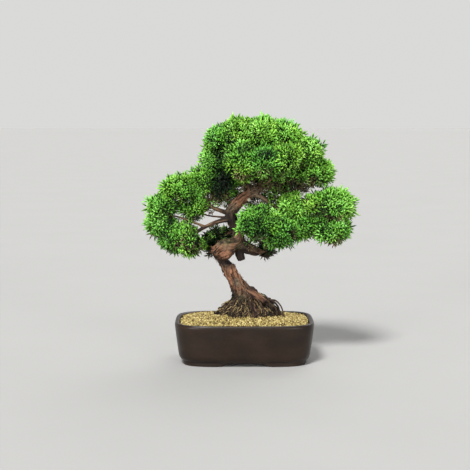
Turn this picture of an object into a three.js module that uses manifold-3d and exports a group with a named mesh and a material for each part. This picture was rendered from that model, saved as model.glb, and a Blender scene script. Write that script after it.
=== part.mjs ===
// A kishu juniper bonsai in a dark clay pot: an old S-bent trunk on a root flare, its boughs held
// in rounded clouds of scale foliage, standing in a bed of fired-clay granules.
// Millimetres, +Z up. The pot stands on z = 0, and +Y points away from the viewer.

import * as THREE from "three";
import { mergeVertices } from "three/addons/utils/BufferGeometryUtils.js";
import Module from "manifold-3d";

const wasm = await Module();
wasm.setup();

// Driving dimensions
const GAP = 0.35; // clearance between pieces that touch on the real plant
const POT_X = -12; // the pot's middle, beside the middle of the whole plant's footprint
const POT_HALF_LENGTH = 147;
const POT_HALF_DEPTH = 104;
const POT_HEIGHT = 88;
const POT_FLOOR_TOP = 18;
const POT_FLOOR_BOTTOM = 9.5;
const OUTLINE_POWER = 4.6; // 2 is an ellipse, higher is squarer
const OUTLINE_POINTS = 32;
const FOOT_INSET = 16.5; // from the pot's widest outline in to the foot ring
const FOOT_WIDTH = 11.5;
const ARCH_HEIGHT = 7; // the notches in the foot ring that let water out
const LONG_ARCH_HALF = 58;
const SHORT_ARCH_HALF = 34;
const ARCH_TAPER = 0.55;
const DRAIN_X = 68; // drain holes, either side of the pot's middle
const DRAIN_RADIUS = 10;
const MESH_SIDE = 36;
const MESH_THICKNESS = 1.2;
const MESH_CELLS = 4;
const MESH_BAR = 1.6;
const WIRE_RADIUS = 0.75;
const WIRE_REACH = 17; // from a clip's middle to the end of each bent leg
const SOIL_EDGE_Z = 84;
const SOIL_CROWN_Z = 101; // the heaped top, under the trunk
const SHOOT = 15; // how far a tuft of shoots stands out of its cloud
const TUFT_AREA = 106; // the room that one tuft takes on the cloud
const SHORTEST_TUFT = 4;
const BARK_CLEARANCE = 3; // from a tuft's tip to the nearest bark

// The same draws in each run
function seeded(seed) {
  let state = seed;
  return () => {
    state = (state * 1664525 + 1013904223) % 4294967296;
    return state / 4294967296;
  };
}

// Closed solids

// Closes a stack of rings, each with the same number of points, with a fan at both ends.
function skin(rings) {
  const count = rings[0].length;
  const middle = (ring) =>
    ring.reduce((sum, p) => sum.add(p), new THREE.Vector3()).divideScalar(count);
  const points = [...rings.flat(), middle(rings[0]), middle(rings.at(-1))];
  const faces = [];
  for (let r = 0; r + 1 < rings.length; r++) {
    for (let i = 0; i < count; i++) {
      const a = r * count + i;
      const b = r * count + ((i + 1) % count);
      faces.push(a, b, b + count, a, b + count, a + count);
    }
  }
  const last = (rings.length - 1) * count;
  for (let i = 0; i < count; i++) {
    const next = (i + 1) % count;
    faces.push(next, i, points.length - 2);
    faces.push(last + i, last + next, points.length - 1);
  }
  return geometryOf(points, faces);
}

function geometryOf(points, faces) {
  const geometry = new THREE.BufferGeometry().setFromPoints(points);
  geometry.setIndex(faces);
  return geometry;
}

function solid(geometry) {
  const bare = geometry.clone();
  bare.deleteAttribute("normal");
  bare.deleteAttribute("uv");
  const merged = mergeVertices(bare, 1e-4);
  return new wasm.Manifold(
    new wasm.Mesh({
      numProp: 3,
      vertProperties: new Float32Array(merged.attributes.position.array),
      triVerts: new Uint32Array(merged.index.array),
    }),
  );
}

const join = (solids) => solids.reduce((whole, next) => whole.add(next));

// The largest body of a solid, so that no loose scrap of a cut is left.
function largest(whole) {
  const bodies = whole.decompose();
  return bodies.reduce((best, next) => (next.volume() > best.volume() ? next : best));
}

function meshOf(name, whole, material) {
  const data = whole.getMesh();
  const geometry = new THREE.BufferGeometry();
  geometry.setAttribute("position", new THREE.BufferAttribute(data.vertProperties, 3));
  geometry.setIndex(new THREE.BufferAttribute(data.triVerts, 1));
  geometry.computeVertexNormals();
  const mesh = new THREE.Mesh(geometry, material);
  mesh.name = name;
  return mesh;
}

// Pot

// A ring of the pot's plan: a rectangle with bowed sides and round corners.
function plan(inset, z) {
  const curl = (value) => Math.sign(value) * Math.abs(value) ** (2 / OUTLINE_POWER);
  return Array.from({ length: OUTLINE_POINTS }, (_, i) => {
    const turn = (2 * Math.PI * (i + 0.5)) / OUTLINE_POINTS;
    return new THREE.Vector3(
      POT_X + (POT_HALF_LENGTH - inset) * curl(Math.cos(turn)),
      (POT_HALF_DEPTH - inset) * curl(Math.sin(turn)),
      z,
    );
  });
}

const POT_OUTSIDE = [
  [15, POT_FLOOR_BOTTOM],
  [9.6, 15],
  [7.2, 24],
  [4.4, 46],
  [0.6, 76],
  [0, 82],
  [0.4, POT_HEIGHT - 2.5],
  [2.4, POT_HEIGHT - 0.4],
];
const POT_INSIDE = [
  [8.2, POT_HEIGHT],
  [10.2, POT_HEIGHT - 3.4],
  [13, 52],
  [17.5, 28],
  [25, POT_FLOOR_TOP],
];

// A block that runs through the foot ring and leaves an arch, centred across X or across Y.
function arch(halfSpan, acrossX) {
  const reach = acrossX ? POT_HALF_DEPTH : POT_HALF_LENGTH;
  const opening = new THREE.Shape([
    new THREE.Vector2(-halfSpan, -1),
    new THREE.Vector2(halfSpan, -1),
    new THREE.Vector2(halfSpan * ARCH_TAPER, ARCH_HEIGHT),
    new THREE.Vector2(-halfSpan * ARCH_TAPER, ARCH_HEIGHT),
  ]);
  const block = new THREE.ExtrudeGeometry(opening, { depth: 2 * reach, bevelEnabled: false });
  block.translate(0, 0, -reach).rotateX(Math.PI / 2);
  if (!acrossX) block.rotateZ(Math.PI / 2);
  return solid(block.translate(POT_X, 0, 0));
}

function drainHole(side) {
  const cutter = new THREE.CylinderGeometry(DRAIN_RADIUS, DRAIN_RADIUS, 4 * POT_FLOOR_TOP, 16);
  return solid(cutter.rotateX(Math.PI / 2).translate(POT_X + side * DRAIN_X, 0, 0));
}

function pot() {
  const profile = [...POT_OUTSIDE, ...POT_INSIDE];
  const body = solid(skin(profile.map(([inset, z]) => plan(inset, z))));
  const inner = FOOT_INSET + FOOT_WIDTH;
  const foot = solid(skin([plan(FOOT_INSET, 0), plan(FOOT_INSET - 1.5, POT_FLOOR_BOTTOM + 1)]))
    .subtract(solid(skin([plan(inner, -1), plan(inner, POT_FLOOR_BOTTOM + 2)])))
    .subtract(arch(LONG_ARCH_HALF, true))
    .subtract(arch(SHORT_ARCH_HALF, false));
  return body.add(foot).subtract(drainHole(-1)).subtract(drainHole(1));
}

// Drainage screens and the wire clips that hold them

const CELL_PITCH = (MESH_SIDE - MESH_BAR) / MESH_CELLS;

// A square plate with a square hole for each cell.
function drainMesh(side) {
  let plate = solid(new THREE.BoxGeometry(MESH_SIDE, MESH_SIDE, MESH_THICKNESS));
  const hole = solid(new THREE.BoxGeometry(CELL_PITCH - MESH_BAR, CELL_PITCH - MESH_BAR, 5));
  for (let row = 0; row < MESH_CELLS; row++) {
    for (let column = 0; column < MESH_CELLS; column++) {
      const x = (column - (MESH_CELLS - 1) / 2) * CELL_PITCH;
      const y = (row - (MESH_CELLS - 1) / 2) * CELL_PITCH;
      plate = plate.subtract(hole.translate([x, y, 0]));
    }
  }
  const z = POT_FLOOR_TOP + GAP + MESH_THICKNESS / 2;
  return plate.translate([POT_X + side * DRAIN_X, 0, z]);
}

// A staple over the screen, down through two of its cells and the drain hole, and bent out below.
function wireClip(side) {
  const leg = CELL_PITCH / 2;
  const top = POT_FLOOR_TOP + MESH_THICKNESS + 2 * GAP + WIRE_RADIUS;
  const under = POT_FLOOR_BOTTOM - GAP - WIRE_RADIUS;
  const corner = 1.2;
  const half = [
    [2, top],
    [leg - corner, top],
    [leg, top - corner],
    [leg, under + corner],
    [leg + corner, under],
    [WIRE_REACH, under],
  ];
  const route = [...half.map(([x, z]) => [-x, z]).reverse(), ...half].map(
    ([x, z]) => new THREE.Vector3(POT_X + side * DRAIN_X + x, leg, z),
  );
  return solid(tube(route.map((p) => [p, WIRE_RADIUS]), 6));
}

// A closed tube through points, each with its own radius, with sections square to the line.
function tube(stations, sides, ridge = () => 1) {
  const across = new THREE.Vector3();
  const normal = new THREE.Vector3();
  let previous = null;
  const rings = stations.map(([point, radius], i) => {
    const before = stations[Math.max(i - 1, 0)][0];
    const after = stations[Math.min(i + 1, stations.length - 1)][0];
    const along = after.clone().sub(before).normalize();
    if (!previous) {
      previous = new THREE.Vector3(1, 0, 0);
      if (Math.abs(along.x) > 0.8) previous.set(0, 1, 0);
    }
    normal.copy(previous).addScaledVector(along, -previous.dot(along)).normalize();
    previous = normal.clone();
    across.crossVectors(along, normal);
    return Array.from({ length: sides }, (_, k) => {
      const turn = (2 * Math.PI * k) / sides;
      const reach = radius * ridge(turn, i / (stations.length - 1));
      return point
        .clone()
        .addScaledVector(normal, reach * Math.cos(turn))
        .addScaledVector(across, reach * Math.sin(turn));
    });
  });
  return skin(rings);
}

// Wood

// Each limb is a line of [x, y, z, radius], smoothed before it is skinned.
const TRUNK = [
  [-11, 6, 92, 36],
  [-11, 5, 111, 33],
  [-12, 4, 131, 27],
  [-19, 3, 147, 21],
  [-28, 2, 163, 15.8],
  [-38, 1, 181, 14.2],
  [-47, 2, 196, 13.6],
  [-56, 3, 208, 9.6],
  [-63, 1, 218, 9.4],
  [-68, -4, 230, 12.4],
  [-58, -8, 241, 14.8],
  [-43, -7, 245, 14.6],
  [-30, -4, 250, 13.6],
  [-24, 2, 264, 11.8],
  [-31, 5, 283, 10.8],
  [-39, 4, 301, 11.6],
  [-39, 1, 318, 12.4],
  [-29, -2, 332, 12.2],
  [-15, -4, 345, 11.6],
  [0, -3, 355, 10.6],
  [15, 1, 362, 9],
  [25, 4, 375, 7.2],
  [29, 6, 396, 5.6],
  [25, 4, 426, 4],
  [23, 0, 457, 2.6],
];

// Dead wood left by old cuts
const STUBS = {
  sawn_leader: [[-41, 0, 188, 13], [-45, 0, 198, 13.4], [-46, 0, 204, 13]],
  left_stub: [[-64, -6, 234, 9], [-74, -7, 236, 7], [-81, -7, 237, 4.5]],
  hanging_stub: [[-26, 3, 247, 9.5], [-23, 6, 229, 9.6], [-18, 8, 212, 8]],
  hook_belly: [[-62, -8, 224, 11], [-50, -10, 231, 14], [-37, -8, 239, 10]],
  pruned_knot: [[-10, -8, 345, 6], [-4, -15, 343, 3.8], [-3, -18.5, 343, 3.6]],
  root_knob: [[-8, 2, 138, 14], [3, 0, 148, 10], [10, -1, 151, 5]],
};

// Boughs that carry the foliage
const BOUGHS = {
  right_low: [
    [-30, -2, 250, 13], [-9, 4, 241, 12.4], [2, 9, 235, 10],
    [15, 14, 230, 6.4], [28, 24, 229, 4], [44, 38, 233, 2.6],
  ],
  back_low: [[-30, 5, 279, 7], [-41, 20, 271, 5], [-56, 38, 261, 3.6], [-67, 48, 251, 2.4]],
  left_low: [
    [-43, 0, 302, 8], [-60, -4, 298, 5.2], [-81, -7, 291, 4.4],
    [-106, -9, 279, 3.6], [-136, -8, 265, 2.6],
  ],
  left_thin: [
    [-45, 2, 304, 3], [-64, 4, 305, 2.4], [-85, 5, 307, 2.1],
    [-106, 4, 312, 1.9], [-132, 0, 318, 1.8],
  ],
  left_outer: [
    [-95, -8, 285, 3], [-123, -9, 296, 2.6],
    [-152, -8, 306, 2.3], [-178, -6, 312, 2],
  ],
  left_high: [
    [-43, 0, 313, 7], [-60, 1, 318, 4.8], [-81, 2, 326, 4],
    [-104, 3, 341, 3.4], [-136, 2, 362, 2.4],
  ],
  left_inner: [[-83, 2, 327, 3], [-90, 5, 349, 2.5], [-96, 6, 375, 2]],
  right_main: [
    [4, -3, 356, 8], [21, -9, 349, 5.6], [33, -12, 342, 5], [50, -14, 330, 4.6],
    [69, -14, 315, 4.2], [99, -8, 304, 3.4], [131, 0, 305, 2.8], [165, 4, 313, 2],
  ],
  right_front: [[38, -12, 338, 3.6], [37, -25, 320, 3], [33, -38, 300, 2.6], [28, -46, 286, 2.2]],
  right_tip: [[108, -6, 304, 2.6], [129, -8, 290, 2.3], [152, -8, 276, 2]],
  crown_left: [[8, 0, 360, 6], [-11, 3, 375, 4.8], [-34, 4, 400, 3.6], [-60, 2, 424, 2.4]],
  crown_right: [[17, 2, 364, 6], [42, 4, 379, 4.6], [74, 2, 396, 3.6], [109, -2, 418, 2.6]],
  crown_rim: [[55, 4, 386, 3.4], [89, 10, 383, 2.8], [127, 10, 387, 2.2]],
  crown_front: [[0, -3, 356, 5], [-3, -18, 374, 3.6], [-5, -36, 394, 2.8], [-7, -48, 411, 2.2]],
  crown_front_right: [[25, 2, 371, 4], [41, -18, 385, 3.4], [57, -38, 402, 2.8], [65, -50, 419, 2.2]],
  crown_back_left: [[8, 2, 362, 5], [-9, 24, 382, 3.8], [-26, 42, 403, 2.8], [-38, 52, 420, 2.2]],
  crown_back_right: [[25, 4, 369, 4.6], [43, 26, 389, 3.6], [65, 44, 407, 2.8], [78, 52, 420, 2.2]],
};

// The foot of the trunk spreads into a ridged plate, narrower front to back. Each level is
// [x of its middle, half width, z].
const FLARE = [
  [-4, 58, 80], [-3, 62, 96], [-4, 55, 106], [-5, 46, 114], [-6, 35, 121],
  [-7, 28, 129], [-9, 23, 138], [-18, 18, 150],
];
const FLARE_FOOT_X = -8;
const FLARE_Y = 4;
const FLARE_DEPTH = 0.72;
const FLARE_SIDES = 24;

// Surface roots out from the flare and down into the soil, by compass heading in degrees.
const ROOTS = [
  { heading: -6, reach: 84, thick: 12, rise: 131 },
  { heading: 20, reach: 70, thick: 7, rise: 118 },
  { heading: 52, reach: 64, thick: 7, rise: 118 },
  { heading: 88, reach: 62, thick: 8, rise: 118 },
  { heading: 124, reach: 66, thick: 7, rise: 116 },
  { heading: 156, reach: 72, thick: 7, rise: 116 },
  { heading: 184, reach: 84, thick: 8, rise: 118 },
  { heading: 214, reach: 72, thick: 8, rise: 118 },
  { heading: 242, reach: 66, thick: 7, rise: 118 },
  { heading: 268, reach: 64, thick: 8, rise: 122 },
  { heading: 294, reach: 66, thick: 6.5, rise: 118 },
  { heading: 326, reach: 74, thick: 8, rise: 120 },
];

function rootLine({ heading, reach, thick, rise }) {
  const turn = THREE.MathUtils.degToRad(heading);
  const at = (out, z, radius, swerve = 0) => [
    FLARE_FOOT_X + out * Math.cos(turn + swerve),
    FLARE_Y + out * Math.sin(turn + swerve) * FLARE_DEPTH,
    z,
    radius,
  ];
  return [
    at(10, rise + 6, thick),
    at(reach * 0.45, rise - 6, thick * 0.85, 0.08),
    at(reach * 0.78, SOIL_CROWN_Z - 1, thick * 0.6, -0.05),
    at(reach, SOIL_CROWN_Z - 17, thick * 0.42, 0.06),
    at(reach * 1.06, SOIL_CROWN_Z - 40, thick * 0.28, 0.1),
  ];
}

function flare(extra) {
  const rings = FLARE.map(([middle, half, z], i) => {
    const share = i / (FLARE.length - 1);
    return Array.from({ length: FLARE_SIDES }, (_, k) => {
      const turn = (2 * Math.PI * k) / FLARE_SIDES;
      const ridge = 1 + 0.1 * Math.cos(6 * turn + 2 * share) + 0.06 * Math.cos(9 * turn - 3 * share);
      const reach = half * ridge + extra;
      return new THREE.Vector3(
        middle + reach * Math.cos(turn),
        FLARE_Y + (reach * FLARE_DEPTH + extra * 0.3) * Math.sin(turn),
        i ? z + extra : z - extra,
      );
    });
  });
  return solid(skin(rings));
}

// Stations along the smoothed line of a limb, fattened and lengthened by any extra.
function stationsOf(line, step, extra = 0) {
  const path = new THREE.CatmullRomCurve3(line.map(([x, y, z]) => new THREE.Vector3(x, y, z)));
  const count = Math.max(2, Math.round(path.getLength() / step));
  const stations = Array.from({ length: count + 1 }, (_, i) => {
    const t = i / count;
    const along = t * (line.length - 1);
    const k = Math.min(Math.floor(along), line.length - 2);
    const radius = THREE.MathUtils.lerp(line[k][3], line[k + 1][3], along - k);
    return [path.getPoint(t), radius + extra];
  });
  stations[0][0].addScaledVector(path.getTangent(0), -extra);
  stations.at(-1)[0].addScaledVector(path.getTangent(1), extra);
  return stations;
}

// Old bark stands in a few lifting ridges that twist round the trunk.
const barkRidges = (turn, share) =>
  1 + 0.09 * Math.cos(3 * turn + 9 * share) + 0.05 * Math.cos(5 * turn - 14 * share);

function woodPieces(extra = 0) {
  const trunk = solid(tube(stationsOf(TRUNK, 13, extra), 12, barkRidges));
  const limbs = [...Object.values(STUBS), ...Object.values(BOUGHS)];
  const tapered = limbs.map((line) => solid(tube(stationsOf(line, 24, extra), 5)));
  const roots = ROOTS.map((root) => solid(tube(stationsOf(rootLine(root), 24, extra), 5)));
  return [trunk, flare(extra), ...tapered, ...roots];
}

// Soil

const SOIL_INSET = POT_INSIDE[1][0] + GAP + 0.45; // the bed's edge, just clear of the pot's rim
const SOIL_RINGS = 7;
const SOIL_ROUGHNESS = 2.6;

// The bed is heaped from its edge up to the foot of the trunk.
function soilHeight(x, y) {
  const across = Math.abs((x - POT_X) / (POT_HALF_LENGTH - SOIL_INSET)) ** OUTLINE_POWER;
  const deep = Math.abs(y / (POT_HALF_DEPTH - SOIL_INSET)) ** OUTLINE_POWER;
  const edge = Math.min(1, (across + deep) ** (1 / OUTLINE_POWER));
  return SOIL_EDGE_Z + (SOIL_CROWN_Z - SOIL_EDGE_Z) * (1 - edge ** 1.5);
}

// A pocket in the soil's underside for a screen and its clip.
function pocket(side) {
  const room = new THREE.BoxGeometry(MESH_SIDE + 2, MESH_SIDE + 2, 9);
  return solid(room.translate(POT_X + side * DRAIN_X, 0, POT_FLOOR_TOP));
}

function soil() {
  const draw = seeded(77);
  const walls = POT_INSIDE.slice(2).reverse();
  const sides = walls.map(([inset, z]) => plan(inset + GAP + 0.15, z + GAP));
  const top = Array.from({ length: SOIL_RINGS }, (_, i) =>
    plan(SOIL_INSET, SOIL_EDGE_Z).map((p) => {
      if (!i) return p;
      const share = 1 - i / SOIL_RINGS;
      const x = POT_X + (p.x - POT_X) * share;
      const y = p.y * share;
      return new THREE.Vector3(x, y, soilHeight(x, y) + (draw() - 0.5) * SOIL_ROUGHNESS);
    }),
  );
  return solid(skin([...sides, ...top])).subtract(pocket(-1)).subtract(pocket(1));
}

// Foliage

// Each cloud is one or more round lobes, [x, y, z, half width, half depth, half height] to the
// tips of their shoots.
const CLOUDS = {
  crown_top: [[-28, 0, 472, 54, 54, 51], [25, 0, 475, 54, 58, 50], [68, 0, 467, 52, 54, 51]],
  crown_left: [[-60, 0, 466, 42, 46, 42], [-70, 2, 428, 40, 42, 43], [-62, 0, 378, 42, 42, 48]],
  crown_right: [[112, 0, 440, 46, 50, 44], [131, 4, 398, 53, 46, 42]],
  crown_front: [[-18, -50, 425, 44, 44, 50], [28, -56, 424, 44, 44, 42], [74, -50, 434, 42, 44, 42]],
  crown_back: [[-38, 50, 430, 48, 48, 48], [22, 58, 436, 50, 44, 48], [80, 50, 430, 47, 48, 47]],
  crown_low: [[56, 14, 386, 52, 46, 38], [98, -4, 386, 42, 42, 34]],
  left_high: [[-144, 0, 362, 54, 54, 42], [-98, 4, 382, 42, 44, 38]],
  left_outer: [[-183, -4, 326, 42, 46, 41], [-186, -6, 292, 41, 44, 36]],
  left_low: [[-163, -6, 260, 39, 42, 39], [-126, -6, 256, 43, 46, 41]],
  left_inner: [[-118, 2, 327, 39, 38, 34]],
  back_low: [[-68, 50, 248, 42, 40, 40]],
  right_front: [[15, -46, 296, 54, 46, 42], [66, -38, 276, 44, 38, 40], [32, -22, 316, 36, 34, 28]],
  right_inner: [[90, -6, 328, 42, 44, 42], [106, -2, 284, 44, 44, 40]],
  right_outer: [[171, 2, 328, 59, 54, 47], [168, 0, 284, 54, 46, 45]],
  right_low: [[35, 46, 232, 30, 32, 26]],
};
const FIRST_SEED = 101;

// How far out a point is in a lobe: 0 at its middle and 1 at the tips.
function depthIn([x, y, z, a, b, c], p) {
  return Math.hypot((p.x - x) / a, (p.y - y) / b, (p.z - z) / c);
}

const limbLines = [TRUNK, ...Object.values(BOUGHS)].map((line) => stationsOf(line, 12));

// The distance from a point to the nearest bark.
function toWood(p) {
  let nearest = Infinity;
  for (const line of limbLines) {
    for (const [centre, radius] of line) {
      nearest = Math.min(nearest, p.distanceTo(centre) - radius);
    }
  }
  return nearest;
}

// A ball of even faces, with the room for one tuft on each, for a core of these half sizes.
function coreBall(halves, draw) {
  const area = 4 * Math.PI * (halves[0] * halves[1] * halves[2]) ** (2 / 3);
  const detail = Math.max(1, Math.round(Math.sqrt(area / TUFT_AREA / 20)) - 1);
  const ball = new THREE.IcosahedronGeometry(1, detail);
  ball.rotateX(2 * Math.PI * draw()).rotateZ(2 * Math.PI * draw());
  ball.deleteAttribute("normal");
  ball.deleteAttribute("uv");
  return mergeVertices(ball, 1e-4);
}

// A lobe's surface, with nearly every face of it raised to a three-sided tuft of shoots. It stays
// short of the lobes of other clouds, and bare where another lobe of its own cloud covers it.
function lobeSurface(lobe, siblings, others, draw) {
  const [x, y, z, ...halves] = lobe;
  const core = halves.map((half) => half - SHOOT);
  const centre = new THREE.Vector3(x, y, z);
  const ball = coreBall(core, draw);
  const isFree = (p, margin) => {
    const own = depthIn(lobe, p) + margin;
    return others.every((other) => depthIn(other, p) > own);
  };
  const points = [];
  for (let i = 0; i < ball.attributes.position.count; i++) {
    const reach = new THREE.Vector3().fromBufferAttribute(ball.attributes.position, i);
    reach.multiply(new THREE.Vector3(...core));
    const at = (share) => centre.clone().addScaledVector(reach, share);
    let share = 0.93 + 0.14 * draw();
    while (share > 0.15 && !isFree(at(share), 0.04)) share -= 0.02;
    points.push(at(share));
  }
  const isCovered = (p) => siblings.some((other) => depthIn(other, p) < 0.86);
  const faces = [];
  const face = new THREE.Triangle();
  for (let f = 0; f < ball.index.count; f += 3) {
    const [a, b, c] = ball.index.array.slice(f, f + 3);
    face.set(points[a], points[b], points[c]);
    const foot = face.getMidpoint(new THREE.Vector3());
    const lean = face.getNormal(new THREE.Vector3());
    lean.z += 0.2;
    lean.normalize();
    const up = (height) => foot.clone().addScaledVector(lean, height);
    const isBlocked = (height) =>
      !isFree(up(height), 0.03) ||
      toWood(up(height)) < BARK_CLEARANCE ||
      toWood(up(height / 2)) < BARK_CLEARANCE + 1;
    let height = SHOOT * (0.8 + 0.4 * draw());
    if (isCovered(foot) || isCovered(up(SHOOT))) height = 0;
    while (height > SHORTEST_TUFT && isBlocked(height)) height -= 2;
    if (height > SHORTEST_TUFT) {
      const tip = points.push(up(height)) - 1;
      faces.push(a, b, tip, b, c, tip, c, a, tip);
    } else {
      faces.push(a, b, c);
    }
  }
  return geometryOf(points, faces);
}

function cloudSolid(name, seed) {
  const draw = seeded(seed);
  const lobes = CLOUDS[name];
  const others = Object.values(CLOUDS).filter((cloud) => cloud !== lobes).flat();
  const parts = lobes.map((lobe) => {
    const siblings = lobes.filter((other) => other !== lobe);
    return solid(lobeSurface(lobe, siblings, others, draw));
  });
  return join(parts);
}

// Colours and finishes

const finish = (color, roughness, metalness = 0) =>
  new THREE.MeshStandardMaterial({ color, roughness, metalness });
const CLAY = finish(0x3a302b, 0.5);
const GRANULES = finish(0xb9a066, 0.95);
const BARK = finish(0x6f4f3b, 0.9);
const LEAVES = finish(0x3f8a2c, 0.7);
const SCREEN = finish(0x2b2b2b, 0.7);
const WIRE = finish(0xb8a28a, 0.4, 0.9);

// The plant

const bonsai = new THREE.Group();
bonsai.add(meshOf("pot", pot(), CLAY));
for (const [side, word] of [[-1, "left"], [1, "right"]]) {
  bonsai.add(meshOf("drain_mesh_" + word, drainMesh(side), SCREEN));
  bonsai.add(meshOf("wire_clip_" + word, wireClip(side), WIRE));
}
bonsai.add(meshOf("trunk", largest(join(woodPieces())), BARK));
const socket = join(woodPieces(GAP + 0.15));
bonsai.add(meshOf("soil", largest(soil().subtract(socket)), GRANULES));
Object.keys(CLOUDS).forEach((name, i) => {
  const cloud = cloudSolid(name, FIRST_SEED + i).subtract(socket);
  bonsai.add(meshOf("foliage_" + name, largest(cloud), LEAVES));
});

export default bonsai;
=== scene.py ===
# %% [markdown]
# # A kishu juniper bonsai in a brown clay pot
# A plain CAD tree gives the sizes: a shallow pot, a bed of granules, a bent trunk and round clouds
# of foliage. This lesson gives it the skin of the real plant. The frame comes first, because each
# later piece is placed in it. Blender works in metres, and a grower's ruler reads millimetres, so
# the tables below are in millimetres and MM turns them into metres.

# %% Load the frame
import math

import bpy
import numpy as np
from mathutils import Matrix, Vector, noise
from mathutils.bvhtree import BVHTree
from mathutils.kdtree import KDTree


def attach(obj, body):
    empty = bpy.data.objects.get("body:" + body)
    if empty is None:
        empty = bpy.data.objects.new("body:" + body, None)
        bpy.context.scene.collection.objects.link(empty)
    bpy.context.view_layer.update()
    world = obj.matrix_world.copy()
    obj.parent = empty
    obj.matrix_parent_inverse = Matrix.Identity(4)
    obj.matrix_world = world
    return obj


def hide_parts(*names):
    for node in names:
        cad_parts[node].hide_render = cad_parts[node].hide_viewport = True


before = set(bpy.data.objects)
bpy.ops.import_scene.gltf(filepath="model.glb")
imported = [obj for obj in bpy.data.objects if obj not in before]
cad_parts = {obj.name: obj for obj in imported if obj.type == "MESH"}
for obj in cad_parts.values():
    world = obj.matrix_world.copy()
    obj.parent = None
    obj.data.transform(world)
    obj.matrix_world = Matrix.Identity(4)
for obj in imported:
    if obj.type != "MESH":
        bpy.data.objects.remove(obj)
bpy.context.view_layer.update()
MM = 0.001

# %% [markdown]
# ## Where the viewer stands
# The plant is seen from the front and a little above the pot's rim, from about two and a half
# metres away. A long lens keeps the pot's sides nearly parallel. The camera comes before the
# pieces, so that each one can be judged in its frame as it is made.

# %% The camera
CAMERA_AT = (-0.032, -2.532, 0.5182)
CAMERA_PITCH = math.radians(84.33)
LENS_MM = 91.76
SENSOR_MM = 36.0

lens = bpy.data.cameras.new("camera")
lens.lens = LENS_MM
lens.sensor_width = SENSOR_MM
lens.clip_end = 50
camera = bpy.data.objects.new("camera", lens)
camera.location = CAMERA_AT
camera.rotation_euler = (CAMERA_PITCH, 0, 0)
bpy.context.scene.collection.objects.link(camera)
bpy.context.scene.camera = camera
print("the camera stands", -CAMERA_AT[1], "m in front of the trunk")

# %% [markdown]
# ## Building blocks for materials
# A material is a small network of nodes. Short helpers keep each network readable: one adds a node
# and fills its sockets, and the others wrap the few nodes that every finish here uses, such as a
# colour ramp, a noise and a bump. Noise scales are in waves for each metre, so a scale of 400 gives
# spots of about 2.5 mm.

# %% Helpers for node networks
def node(tree, kind, inputs=None, **settings):
    made = tree.nodes.new("ShaderNode" + kind)
    for name, value in settings.items():
        setattr(made, name, value)
    for socket, value in (inputs or {}).items():
        if isinstance(value, bpy.types.NodeSocket):
            tree.links.new(value, made.inputs[socket])
        else:
            made.inputs[socket].default_value = value
    return made


def new_material(name, roughness):
    material = bpy.data.materials.new(name)
    material.use_nodes = True
    shader = material.node_tree.nodes["Principled BSDF"]
    shader.inputs["Roughness"].default_value = roughness
    return material, material.node_tree, shader


def ramp(tree, value, stops):
    made = node(tree, "ValToRGB", {"Fac": value})
    elements = made.color_ramp.elements
    while len(elements) < len(stops):
        elements.new(0.5)
    for element, (place, colour) in zip(elements, stops):
        element.position = place
        element.color = (*colour, 1)
    return made.outputs["Color"]


# A Mix node has sockets for each kind of value, and these are the ones for colours
MIX_AMOUNT, MIX_FIRST, MIX_SECOND, MIX_RESULT = 0, 6, 7, 2


def mix(tree, amount, first, second, kind="MIX"):
    made = node(tree, "Mix", data_type="RGBA", blend_type=kind)
    for socket, value in ((MIX_AMOUNT, amount), (MIX_FIRST, first), (MIX_SECOND, second)):
        if isinstance(value, bpy.types.NodeSocket):
            tree.links.new(value, made.inputs[socket])
        elif socket == MIX_AMOUNT:
            made.inputs[socket].default_value = value
        else:
            made.inputs[socket].default_value = (*value, 1)
    return made.outputs[MIX_RESULT]


def place_of(tree):
    return node(tree, "TexCoord").outputs["Object"]


def speckle(tree, where, scale, detail=4.0, roughness=0.55):
    inputs = {"Vector": where, "Scale": scale, "Detail": detail, "Roughness": roughness}
    return node(tree, "TexNoise", inputs).outputs["Fac"]


def stretched(tree, where, scales):
    return node(tree, "Mapping", {"Vector": where, "Scale": scales}).outputs["Vector"]


def number(tree, name):
    return node(tree, "Attribute", attribute_name=name).outputs["Fac"]


def steps(tree, value, low, high):
    inputs = {"Value": value, "From Min": low, "From Max": high}
    return node(tree, "MapRange", inputs).outputs["Result"]


def raise_surface(tree, shader, height, distance_mm, strength=1.0):
    inputs = {"Height": height, "Distance": distance_mm * MM, "Strength": strength}
    made = node(tree, "Bump", inputs)
    tree.links.new(made.outputs["Normal"], shader.inputs["Normal"])
    return made


print("material helpers are ready")

# %% [markdown]
# ## Building blocks for meshes
# Grains, shoots and roots come in thousands. Each kind is worked out as rows of points and
# triangles, gathered in a pile, and turned into one mesh at the end. A pile also carries named
# values on its points, such as how near a point is to the tip of its shoot, for the material to
# colour by.

# %% Helpers for meshes
def set_values(mesh, values):
    for name, value in values.items():
        array = np.asarray(value, np.float32)
        kind, field = ("FLOAT", "value") if array.ndim == 1 else ("FLOAT_VECTOR", "vector")
        mesh.attributes.new(name, kind, "POINT").data.foreach_set(field, array.ravel())


def make_piece(name, points, triangles, material, slot, **values):
    mesh = bpy.data.meshes.new(name)
    mesh.vertices.add(len(points))
    mesh.vertices.foreach_set("co", (np.asarray(points) * MM).astype(np.float32).ravel())
    mesh.loops.add(triangles.size)
    mesh.loops.foreach_set("vertex_index", triangles.astype(np.int32).ravel())
    mesh.polygons.add(len(triangles))
    mesh.polygons.foreach_set("loop_start", np.arange(0, triangles.size, 3, dtype=np.int32))
    mesh.polygons.foreach_set("use_smooth", np.ones(len(triangles), bool))
    mesh.update(calc_edges=True)
    mesh.validate()
    set_values(mesh, values)
    mesh.materials.append(material)
    piece = bpy.data.objects.new(name, mesh)
    bpy.context.scene.collection.objects.link(piece)
    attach(piece, "root")
    print(name, "has", len(triangles), "triangles")
    return piece


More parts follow.
